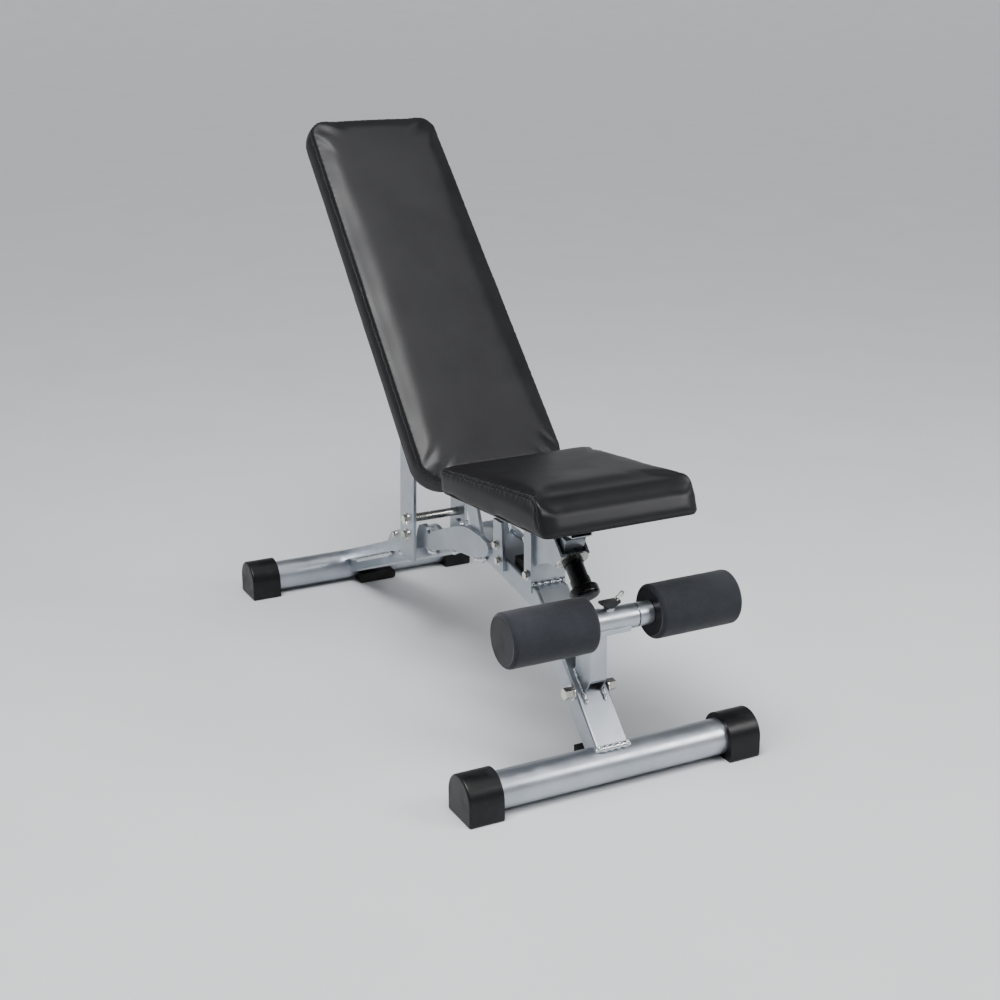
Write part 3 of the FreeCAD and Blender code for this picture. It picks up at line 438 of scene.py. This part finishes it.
def inflate(mesh, pinned, most):
    """Blow the closed mesh up as cloth; no point moves further than `most`."""
    start = get_co(mesh)
    obj = bpy.data.objects.new("inflating", mesh)
    bpy.context.scene.collection.objects.link(obj)
    group = obj.vertex_groups.new(name="held")
    group.add([int(i) for i in np.flatnonzero(pinned)], 1.0, "REPLACE")
    cloth = obj.modifiers.new("cloth", "CLOTH")
    settings = cloth.settings
    settings.use_pressure = True
    settings.uniform_pressure_force = PRESSURE
    settings.effector_weights.gravity = 0.0
    settings.quality = CLOTH_QUALITY
    settings.vertex_group_mass = "held"
    settings.pin_stiffness = 1.0
    cloth.point_cache.frame_start = 1
    cloth.point_cache.frame_end = CLOTH_FRAMES
    for step in range(1, CLOTH_FRAMES + 1):
        bpy.context.scene.frame_set(step)
    moved = evaluated(obj)
    shift = get_co(moved) - start
    bpy.context.scene.frame_set(1)
    bpy.data.objects.remove(obj)
    length = np.linalg.norm(shift, axis=1, keepdims=True)
    shift = shift / np.maximum(length, TINY) * (most * np.tanh(length / most))
    put_co(moved, start + shift)
    return moved


WRAP = 0.0115              # how far the cover comes down over the board's edge
VOXEL = 0.005


def cushion(node, base, edges, shrink, held_height, most):
    """A pad: the CAD solid with rounded edges, its cover wrapped over the board and blown up.

    `base` is the lower face of the finished cover, WRAP below the CAD solid's."""
    mesh = NODES[node].data.copy()
    co = get_co(mesh)
    sole = base.depth(co) < WRAP + 0.001
    put_co(mesh, co + np.outer(sole * WRAP, base.normal))
    mesh = with_modifier(mesh, "REMESH", mode="VOXEL", voxel_size=VOXEL)
    co = round_edges(round_edges(get_co(mesh), edges), edges)
    put_co(mesh, co)
    relax(mesh, 3)
    facing = np.clip(get_normals(mesh) @ -base.normal, 0.0, 1.0)
    put_co(mesh, get_co(mesh) - get_normals(mesh) * (shrink * facing)[:, None])
    held = base.depth(get_co(mesh)) < held_height
    mesh = inflate(mesh, held, most)
    relax(mesh, 2)
    return with_modifier(mesh, "SUBSURF", levels=1, render_levels=1)


def surface_of(mesh):
    bm = bmesh.new()
    bm.from_mesh(mesh)
    tree = BVHTree.FromBMesh(bm)
    bm.free()
    return tree


def spaced(points, step):
    """Points at an even spacing along a run of points."""
    points = np.array(points)
    lengths = np.linalg.norm(np.diff(points, axis=0), axis=1)
    along = np.concatenate(([0.0], np.cumsum(lengths)))
    marks = np.linspace(0.0, along[-1], max(2, int(along[-1] / step)))
    return np.stack([np.interp(marks, along, points[:, i]) for i in range(3)], axis=1)


def onto(tree, points):
    """Each point moved onto the surface, and the surface's normal there."""
    places, normals = [], []
    for p in points:
        place, normal, _, _ = tree.find_nearest(Vector(p))
        places.append(place)
        normals.append(normal)
    return np.array(places), np.array(normals)


STAND_OFF = 0.06           # rays start this far outside the cover


def cast(tree, points, directions):
    """Where rays sent at the cover from outside meet it; a miss is left out."""
    hits = []
    for p, d in zip(points, directions):
        d = Vector(d).normalized()
        place, _, _, _ = tree.ray_cast(Vector(p) - d * STAND_OFF, d)
        if place is not None:
            hits.append(place)
    return np.array(hits)


SEW_STEP = 0.0012
SEW_REACH = 0.016          # cover further than this across from a seam is left alone


def sew(mesh, lines, depth, width, pucker):
    """Sink a seam along each line and gather the cover beside it."""
    co = get_co(mesh)
    normals = get_normals(mesh)
    tree = surface_of(mesh)
    best = np.full(len(co), 1.0)
    phase = np.zeros(len(co))
    for line in lines:
        points, _ = onto(tree, spaced(line, SEW_STEP))
        for i, point in enumerate(points):
            near = np.abs(co[:, 0] - point[0]) < SEW_REACH
            index = np.flatnonzero(near)
            distance = np.linalg.norm(co[index] - point, axis=1)
            closer = distance < best[index]
            best[index[closer]] = distance[closer]
            phase[index[closer]] = i
    seam = np.exp(-(best / width) ** 2)
    groove = -depth * seam
    roll = 0.35 * depth * np.exp(-((best - 2.4 * width) / (1.3 * width)) ** 2)
    wave = np.sin(phase * 0.55 + 2.0 * np.sin(phase * 0.083))
    gather = pucker * wave * np.exp(-(best / (4.0 * width)) ** 2)
    gather *= 1.0 - seam
    put_co(mesh, co + normals * (groove + roll + gather)[:, None])


CAPSULE_SIDES = 6
CAPSULE_RINGS = ((-0.5, 0.35), (-0.38, 0.9), (0.0, 1.0), (0.38, 0.9), (0.5, 0.35))
CAPSULE_FLATTEN = 0.8


def skin(bm, rings, sides):
    """Faces between each ring of points and the next."""
    for a, b in zip(rings, rings[1:]):
        for k in range(sides):
            bm.faces.new((a[k], a[(k + 1) % sides], b[(k + 1) % sides], b[k]))


def capsule_into(bm, centre, along, up, length, radius):
    """A short rounded thread, flattened a little onto the cover."""
    along = along / max(np.linalg.norm(along), TINY)
    across = np.cross(along, up)
    across = across / max(np.linalg.norm(across), TINY)
    rise = np.cross(across, along)
    rings = []
    for t, r in CAPSULE_RINGS:
        middle = centre + along * (t * length)
        ring = []
        for k in range(CAPSULE_SIDES):
            turn = 2 * math.pi * k / CAPSULE_SIDES
            ring.append(bm.verts.new(middle + across * (math.cos(turn) * r * radius)
                                     + rise * (math.sin(turn) * r * radius * CAPSULE_FLATTEN)))
        rings.append(ring)
    skin(bm, rings, CAPSULE_SIDES)
    bm.faces.new(rings[0][::-1])
    bm.faces.new(rings[-1])


STITCH_PITCH = 0.0048
STITCH_LENGTH = 0.0036
STITCH_R = 0.00048
STITCH_RISE = 0.3          # of its radius, how far above the cover a stitch's middle lies


def stitches(name, mesh, lines, offsets, body, slot):
    """Rows of thread beside each seam line."""
    tree = surface_of(mesh)
    bm = bmesh.new()
    for line in lines:
        points, normals = onto(tree, spaced(line, STITCH_PITCH))
        tangents = np.gradient(points, axis=0)
        for offset in offsets:
            sides = np.cross(tangents, normals)
            sides /= np.maximum(np.linalg.norm(sides, axis=1, keepdims=True), TINY)
            places, ups = onto(tree, points + sides * offset)
            for place, up, along in zip(places, ups, tangents):
                centre = place + up * STITCH_R * STITCH_RISE
                capsule_into(bm, centre, along, up, STITCH_LENGTH, STITCH_R)
    out = bpy.data.meshes.new(name)
    bm.normal_update()
    bm.to_mesh(out)
    bm.free()
    return new_piece(name, out, body, slot, THREAD)


# The seat cushion's side view: its top's ends, then its lower ends.
SEAT_BACK, SEAT_FRONT = bench(321.6, 456.0), bench(-9.7, 494.0)
SEAT_HEEL, SEAT_NOSE = bench(316.0, 412.0), bench(-33.0, 434.0)
SEAT_HALF_BACK, SEAT_HALF_FRONT = 0.144, 0.1365
SEAT_SPAN = np.linalg.norm(SEAT_HEEL - SEAT_NOSE)
SEAT_REARWARD = unit(SEAT_HEEL - SEAT_NOSE)
SEAT_UP = unit(np.cross(X_AXIS, SEAT_HEEL - SEAT_NOSE))
# corners of an outline: place along it, half width, corner radius, side
SEAT_CORNERS = ((0.0, SEAT_HALF_FRONT, 0.016, 1), (SEAT_SPAN, SEAT_HALF_BACK, 0.018, 1),
                (SEAT_SPAN, SEAT_HALF_BACK, 0.018, -1), (0.0, SEAT_HALF_FRONT, 0.016, -1))
BOARD = 0.012
SEAM_IN = 0.0075           # the side seam's distance below the top face
SEAM_ROLL = 0.027          # the front roll that the side seam follows


def side_face(corner, run, up, s):
    """The face through a corner and along a run, looking to side s."""
    normal = np.cross(run, up)
    return Face(corner, normal * np.sign(normal[0] * s))


def seat_seam(top, front):
    """The side seam's line in side view: along the top, round the front roll and down."""
    profile = []
    for t in np.linspace(0.03, 1.0, 80):
        p = SEAT_BACK + (SEAT_FRONT - SEAT_BACK) * t - top.normal * SEAM_IN
        if front.depth(p) > SEAM_ROLL:
            profile.append(p)
    radius = SEAM_ROLL - SEAM_IN
    hub = profile[-1] - top.normal * radius
    for t in np.linspace(0.0, 1.0, 12)[1:]:
        turn = t * math.pi / 2
        aim = unit(top.normal * math.cos(turn) + front.normal * math.sin(turn))
        profile.append(hub + aim * radius)
    foot = profile[-1]
    fall = unit(SEAT_NOSE - SEAT_FRONT)
    return profile + [foot + fall * t for t in np.linspace(0.002, 0.024, 10)]


def make_seat():
    """The seat's cushion with a sewn seam down each side."""
    top = Face(SEAT_BACK, np.cross(X_AXIS, SEAT_BACK - SEAT_FRONT))
    front = Face(SEAT_NOSE, np.cross(X_AXIS, SEAT_FRONT - SEAT_NOSE))
    rear = Face(SEAT_BACK, np.cross(X_AXIS, SEAT_HEEL - SEAT_BACK))
    base = Face(SEAT_NOSE + SEAT_UP * (BOARD - WRAP), -SEAT_UP)
    edges = [(top, front, 0.021), (top, rear, 0.012), (front, base, 0.004)]
    for s in (-1, 1):
        corner = SEAT_NOSE + X_AXIS * s * SEAT_HALF_FRONT
        run = SEAT_REARWARD * SEAT_SPAN + X_AXIS * s * (SEAT_HALF_BACK - SEAT_HALF_FRONT)
        side = side_face(corner, run, SEAT_UP, s)
        edges += [(side, top, 0.0075), (side, base, 0.005), (side, front, 0.015),
                  (side, rear, 0.018)]
    mesh = cushion("seat_pad", base, edges, shrink=0.0030, held_height=0.034, most=0.0050)
    profile = np.array(seat_seam(top, front))
    tree = surface_of(mesh)
    lines = []
    for s in (-1, 1):
        starts = profile + X_AXIS * s * SEAT_HALF_BACK
        lines.append(cast(tree, starts, [(-s, 0.0, 0.0)] * len(starts)))
    sew(mesh, lines, depth=0.0016, width=0.0019, pucker=0.0004)
    piece = new_piece("seat_cushion", mesh, "seat", "seat_vinyl")
    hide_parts("seat_pad")
    stitches("seat_stitches", mesh, lines, (-0.0036, 0.0036), "seat", "seat_vinyl")


BACK_TILT = math.radians(46.6)
BACK_ALONG = np.array((0.0, math.cos(BACK_TILT), math.sin(BACK_TILT)))
BACK_OUT = np.array((0.0, -math.sin(BACK_TILT), math.cos(BACK_TILT)))
BACK_FOOT = bench(412.4, 450.0)
BACK_LOW, BACK_HIGH = -0.058, 0.714
BACK_HALF_LOW, BACK_HALF_HIGH = 0.1405, 0.130
BACK_CORNER_LOW, BACK_CORNER_HIGH = 0.055, 0.040
BACK_CORNERS = ((BACK_LOW, BACK_HALF_LOW, BACK_CORNER_LOW, 1),
                (BACK_HIGH, BACK_HALF_HIGH, BACK_CORNER_HIGH, 1),
                (BACK_HIGH, BACK_HALF_HIGH, BACK_CORNER_HIGH, -1),
                (BACK_LOW, BACK_HALF_LOW, BACK_CORNER_LOW, -1))
BACK_PAD = 0.038
RIM_DEPTH = 0.0115         # the rim seam's distance below the face
RIM_END = 0.48             # rays for the seam aim at the pad's middle line, short of its ends
CORNER_STEPS = 13


def outline_loop(corners):
    """A rounded trapezium as (along, across, out-along, out-across) rows, anticlockwise."""
    rows = []
    for i, (a, half, r, s) in enumerate(corners):
        inward = 1 if i in (0, 3) else -1
        for step in range(CORNER_STEPS):
            turn = math.radians(90 * (i - 1) + 90 * step / (CORNER_STEPS - 1))
            rows.append((a + inward * r + math.sin(turn) * r, s * (half - r) + math.cos(turn) * r,
                         math.sin(turn), math.cos(turn)))
    return rows


def make_backrest():
    """The backrest's cushion with a sewn seam round its rim."""
    face = Face(BACK_FOOT, BACK_OUT)
    base = Face(BACK_FOOT - BACK_OUT * (BACK_PAD + WRAP), -BACK_OUT)
    low = Face(BACK_FOOT + BACK_ALONG * BACK_LOW, -BACK_ALONG)
    high = Face(BACK_FOOT + BACK_ALONG * BACK_HIGH, BACK_ALONG)
    edges = [(face, low, 0.011), (face, high, 0.011), (base, low, 0.005), (base, high, 0.005)]
    for s in (-1, 1):
        corner = BACK_FOOT + BACK_ALONG * BACK_LOW + X_AXIS * s * BACK_HALF_LOW
        run = BACK_ALONG * (BACK_HIGH - BACK_LOW) + X_AXIS * s * (BACK_HALF_HIGH - BACK_HALF_LOW)
        side = side_face(corner, run, BACK_OUT, s)
        edges += [(side, face, 0.013), (side, base, 0.005)]
    mesh = cushion("backrest_pad", base, edges, shrink=0.0022, held_height=0.030, most=0.0042)
    ring = np.array([BACK_FOOT + BACK_ALONG * a + X_AXIS * x - BACK_OUT * RIM_DEPTH
                     for a, x, _, _ in outline_loop(BACK_CORNERS)])
    hub = BACK_FOOT + BACK_ALONG * (BACK_LOW + BACK_HIGH) / 2 - BACK_OUT * RIM_DEPTH
    reach = ring - hub
    lengthwise = np.clip(reach @ BACK_ALONG, BACK_LOW + RIM_END, BACK_HIGH - RIM_END)
    inward = np.outer(lengthwise, BACK_ALONG) - reach
    ring = cast(surface_of(mesh), ring, inward)
    ring = np.vstack((ring, ring[:1]))
    sew(mesh, [ring], depth=0.0013, width=0.0018, pucker=0.0003)
    piece = new_piece("backrest_cushion", mesh, "backrest", "back_vinyl")
    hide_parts("backrest_pad")
    stitches("backrest_stitches", mesh, [ring], (0.0032,), "backrest", "back_vinyl")


# The cover's edge: distance out from the pad's outline, then up from the pad's lower face.
STRIP_PROFILE = ((-0.0035, -0.0090), (-0.0040, -0.0116), (-0.0062, -0.0127), (-0.0105, -0.0131),
                 (-0.0165, -0.0131), (-0.0205, -0.0129), (-0.0245, -0.0125))
STRIP_STEP = 0.006
STRIP_THICK = 0.0009
PLEAT = 0.0011
BULGE = 0.0007
FOLD = 3                   # from this point of the profile on, the cover lies in pleats


def board_cover_strip(name, origin, along, out, corners, body, slot):
    """The cover's turned-under edge below the board. Returns its outline."""
    loop = outline_loop(corners)
    dense = []
    for (a, x, na, nx), (b, y, nb, ny) in zip(loop, loop[1:] + loop[:1]):
        parts = max(1, int(math.hypot(b - a, y - x) / STRIP_STEP))
        for k in range(parts):
            t = k / parts
            dense.append((a + (b - a) * t, x + (y - x) * t, na + (nb - na) * t, nx + (ny - nx) * t))
    bm = bmesh.new()
    verts = []
    for i, (a, x, na, nx) in enumerate(dense):
        bulge = noise.noise(Vector((a * 22.0, x * 22.0, 1.3))) * BULGE
        bent = 1.0 - max(abs(na), abs(nx))
        pleat = math.sin(i * 1.9) * PLEAT * min(1.0, bent * 6.0)
        row = []
        for k, (off, drop) in enumerate(STRIP_PROFILE):
            grow = off + bulge * (k > 0) + pleat * (k >= FOLD)
            lift = pleat * 0.4 * (k >= FOLD)
            row.append(bm.verts.new(origin + along * (a + na * grow) + X_AXIS * (x + nx * grow)
                                    + out * (drop + lift)))
        verts.append(row)
    for a, b in zip(verts, verts[1:] + verts[:1]):
        for k in range(len(STRIP_PROFILE) - 1):
            bm.faces.new((a[k], a[k + 1], b[k + 1], b[k]))
    bmesh.ops.recalc_face_normals(bm, faces=bm.faces)
    mesh = bpy.data.meshes.new(name)
    bm.to_mesh(mesh)
    bm.free()
    mesh = with_modifier(mesh, "SOLIDIFY", thickness=STRIP_THICK, offset=0.0)
    mesh = with_modifier(mesh, "SUBSURF", levels=1, render_levels=1)
    mesh.name = name
    new_piece(name, mesh, body, slot)
    return dense


STAPLE_EVERY = 6           # outline points from one staple to the next
STAPLE_IN = 0.017
STAPLE_DOWN = 0.0138
STAPLE_LENGTH, STAPLE_R = 0.0105, 0.00065


def staples(name, origin, along, out, dense, body):
    """A staple every few centimetres through the turned-under cover."""
    bm = bmesh.new()
    for a, x, na, nx in dense[::STAPLE_EVERY]:
        centre = (origin + along * (a - na * STAPLE_IN) + X_AXIS * (x - nx * STAPLE_IN)
                  - out * STAPLE_DOWN)
        tangent = along * (-nx) + X_AXIS * na
        capsule_into(bm, centre, tangent, -out, STAPLE_LENGTH, STAPLE_R)
    mesh = bpy.data.meshes.new(name)
    bm.to_mesh(mesh)
    bm.free()
    new_piece(name, mesh, body, "zinc_steel")


def cover_board(body, origin, along, out, corners, slot):
    """The turned-under cover and its staples under one board."""
    dense = board_cover_strip(f"{body}_cover_edge", origin, along, out, corners, body, slot)
    staples(f"{body}_staples", origin, along, out, dense, body)


make_seat()
make_backrest()
cover_board("seat", SEAT_NOSE + SEAT_UP * BOARD, SEAT_REARWARD, SEAT_UP, SEAT_CORNERS, "seat_vinyl")
cover_board("backrest", BACK_FOOT - BACK_OUT * BACK_PAD, BACK_ALONG, BACK_OUT, BACK_CORNERS,
            "back_vinyl")

ROLLER_R = 0.0438
FOAM_EDGE = 0.0065
FOAM_BORE = 0.0192
FOAM_RECESS_R = 0.0372
FOAM_RECESS = 0.0021
FOAM_SIDES = 112
FOAM_RINGS = 46
EDGE_STEPS = 8


def foam_outline(x0, x1):
    """The sleeve's section as (x, radius): bore, sunk end face, soft shoulder, skin, and back."""
    profile = [(x0 + FOAM_RECESS, FOAM_BORE), (x0 + FOAM_RECESS, FOAM_RECESS_R),
               (x0 + 0.0004, FOAM_RECESS_R + 0.0003)]
    for k in range(EDGE_STEPS + 1):
        turn = math.radians(90 * k / EDGE_STEPS)
        profile.append((x0 + FOAM_EDGE - FOAM_EDGE * math.cos(turn),
                        ROLLER_R - FOAM_EDGE + FOAM_EDGE * math.sin(turn)))
    length = x1 - x0 - 2 * FOAM_EDGE
    middle = [(x0 + FOAM_EDGE + length * k / FOAM_RINGS, ROLLER_R) for k in range(1, FOAM_RINGS)]
    return profile + middle + [(x0 + x1 - x, r) for x, r in profile[::-1]]


def make_roller(word, seed):
    """A foam sleeve: soft shoulders, sunk ends and faint dents."""
    low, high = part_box(f"roller_foam_{word}")
    cy, cz = (low[1] + high[1]) / 2, (low[2] + high[2]) / 2
    bm = bmesh.new()
    rings = []
    for x, r in foam_outline(low[0], high[0]):
        ring = []
        for k in range(FOAM_SIDES):
            turn = 2 * math.pi * k / FOAM_SIDES
            radial = Vector((0.0, math.cos(turn), math.sin(turn)))
            bump = 0.0
            if r > FOAM_RECESS_R:
                spot = Vector((x * 14.0 + seed, radial.y * 0.9, radial.z * 0.9))
                fine = Vector((x * 70.0 + seed, radial.y * 3.5, radial.z * 3.5))
                bump = noise.noise(spot) * 0.0007 + noise.noise(fine) * 0.00022 - 0.0002
            ring.append(bm.verts.new(Vector((x, cy, cz)) + radial * (r + bump)))
        rings.append(ring)
    skin(bm, rings + rings[:1], FOAM_SIDES)
    bmesh.ops.recalc_face_normals(bm, faces=bm.faces)
    mesh = bpy.data.meshes.new(f"foam_roller_{word}")
    bm.to_mesh(mesh)
    bm.free()
    piece = new_piece(f"foam_roller_{word}", mesh, f"roller_{word}", "foam")
    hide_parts(f"roller_foam_{word}")


make_roller("left", 1.7)
make_roller("right", 8.3)

# ---- weld beads --------------------------------------------------------------


def islands(mesh):
    """The vertex sets of the mesh's separate parts."""
    pairs = np.empty(len(mesh.edges) * 2, int)
    mesh.edges.foreach_get("vertices", pairs)
    label = np.arange(len(mesh.vertices))
    pairs = pairs.reshape(-1, 2)
    while True:
        low = np.minimum(label[pairs[:, 0]], label[pairs[:, 1]])
        new = label.copy()
        np.minimum.at(new, pairs[:, 0], low)
        np.minimum.at(new, pairs[:, 1], low)
        if (new == label).all():
            return [np.flatnonzero(label == k) for k in np.unique(label)]
        label = new


RIPPLE_PITCH = 0.0026
RIPPLE = 0.20
BEAD_SIDES = 12


def weld_bead(bm, points, seed):
    """A rippled bead through the box of one CAD bead, like a row of overlapping coins."""
    centre = points.mean(axis=0)
    _, _, axes = np.linalg.svd(points - centre)
    along = axes[0]
    reach = (points - centre) @ along
    low, high = reach.min(), reach.max()
    across = np.linalg.norm((points - centre) - np.outer(reach, along), axis=1)
    radius = np.percentile(across, 80)
    side_a = axes[1]
    side_b = np.cross(along, side_a)
    count = max(6, int((high - low) / RIPPLE_PITCH * 4))
    rings = []
    rng = random.Random(seed)
    sway = [rng.uniform(-0.12, 0.12) for _ in range(count + 1)]
    for i in range(count + 1):
        t = low + (high - low) * i / count
        end = min(1.0, math.sqrt(max(0.0, min(t - low, high - t) / (radius * 0.9) + 0.04)))
        ripple = 1.0 + RIPPLE * abs(math.sin(math.pi * (t - low) / RIPPLE_PITCH))
        lump = 1.0 + 0.22 * math.sin(t * 520.0 + seed) + 0.5 * sway[i]
        r = radius * end * ripple * lump
        middle = centre + along * t
        ring = []
        for k in range(BEAD_SIDES):
            turn = 2 * math.pi * k / BEAD_SIDES
            ring.append(bm.verts.new(middle + side_a * (math.cos(turn) * r)
                                     + side_b * (math.sin(turn) * r)))
        rings.append(ring)
    skin(bm, rings, BEAD_SIDES)
    bm.faces.new(rings[0][::-1])
    bm.faces.new(rings[-1])


def make_welds(node):
    """Rippled beads in place of a node's plain ones."""
    source = NODES[node].data
    co = get_co(source)
    bm = bmesh.new()
    for seed, index in enumerate(islands(source)):
        weld_bead(bm, co[index], seed)
    bmesh.ops.recalc_face_normals(bm, faces=bm.faces)
    mesh = bpy.data.meshes.new(f"{node}_beads")
    bm.to_mesh(mesh)
    bm.free()
    piece = new_piece(f"{node}_beads", mesh, "frame", "frame_paint", WELD_GLINT)
    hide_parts(node)


make_welds("welds_front")
make_welds("welds_ladder")

# ---- stage -------------------------------------------------------------------

# The floor's rings, radius then height: flat at the bench, then up like a wide bowl.
FLOOR_RINGS = ((16.0, 0.0), (24.0, 0.5), (32.0, 2.0), (40.0, 5.0), (47.0, 10.0), (52.0, 18.0),
               (55.0, 30.0))
FLOOR_SIDES = 96
DAYLIGHT = (0.86, 0.88, 0.91, 1.0)
DAYLIGHT_STRENGTH = 0.17


def make_stage():
    """A pale floor that curves up into a wall all round, with soft daylight."""
    around = FLOOR_SIDES
    turns = [2.0 * math.pi * k / around for k in range(around)]
    verts = [(0.0, 0.0, 0.0)]
    for radius, height in FLOOR_RINGS:
        verts += [(radius * math.cos(t), radius * math.sin(t), height) for t in turns]
    faces = [(0, 1 + k, 1 + (k + 1) % around) for k in range(around)]
    for ring in range(len(FLOOR_RINGS) - 1):
        inner, outer = 1 + ring * around, 1 + (ring + 1) * around
        for k in range(around):
            n = (k + 1) % around
            faces.append((inner + k, outer + k, outer + n, inner + n))
    mesh = bpy.data.meshes.new("floor")
    mesh.from_pydata(verts, [], faces)
    mesh.shade_smooth()
    floor = bpy.data.objects.new("floor", mesh)
    bpy.context.scene.collection.objects.link(floor)
    m = Nodes("floor_pale")
    m.set(Base_Color=m.colour(m.noise(3.0, 4.0), (0.62, 0.63, 0.64), (0.68, 0.69, 0.70)),
          Roughness=0.75)
    mesh.materials.append(m.mat)
    world = bpy.data.worlds.new("studio")
    world.use_nodes = True
    background = world.node_tree.nodes["Background"]
    background.inputs["Color"].default_value = DAYLIGHT
    background.inputs["Strength"].default_value = DAYLIGHT_STRENGTH
    bpy.context.scene.world = world


def add_lamp(name, data, aim):
    """A lamp at the origin that shines along a direction."""
    lamp = bpy.data.objects.new(name, data)
    bpy.context.scene.collection.objects.link(lamp)
    lamp.rotation_mode = "QUATERNION"
    lamp.rotation_quaternion = aim.to_track_quat("-Z", "Y")
    return lamp


def area_light(name, at, aim, size, power):
    """A soft rectangular light at one point, aimed at another."""
    data = bpy.data.lights.new(name, "AREA")
    data.shape = "RECTANGLE"
    data.size, data.size_y = size
    data.energy = power
    add_lamp(name, data, Vector(aim) - Vector(at)).location = at


def sun_light(name, aim, strength, spread):
    """Even soft daylight from above."""
    data = bpy.data.lights.new(name, "SUN")
    data.energy = strength
    data.angle = spread
    add_lamp(name, data, Vector(aim))


make_stage()
sun_light("ceiling", (0.1, 0.3, -1.0), 1.6, 0.9)
area_light("overhead", (-0.9, -0.9, 2.8), (0.0, 0.0, 0.5), (1.4, 1.2), 55.0)
area_light("front_right", (2.2, -2.6, 2.2), (0.0, -0.1, 0.4), (1.6, 1.2), 40.0)
bpy.context.scene.view_settings.look = "AgX - Medium High Contrast"
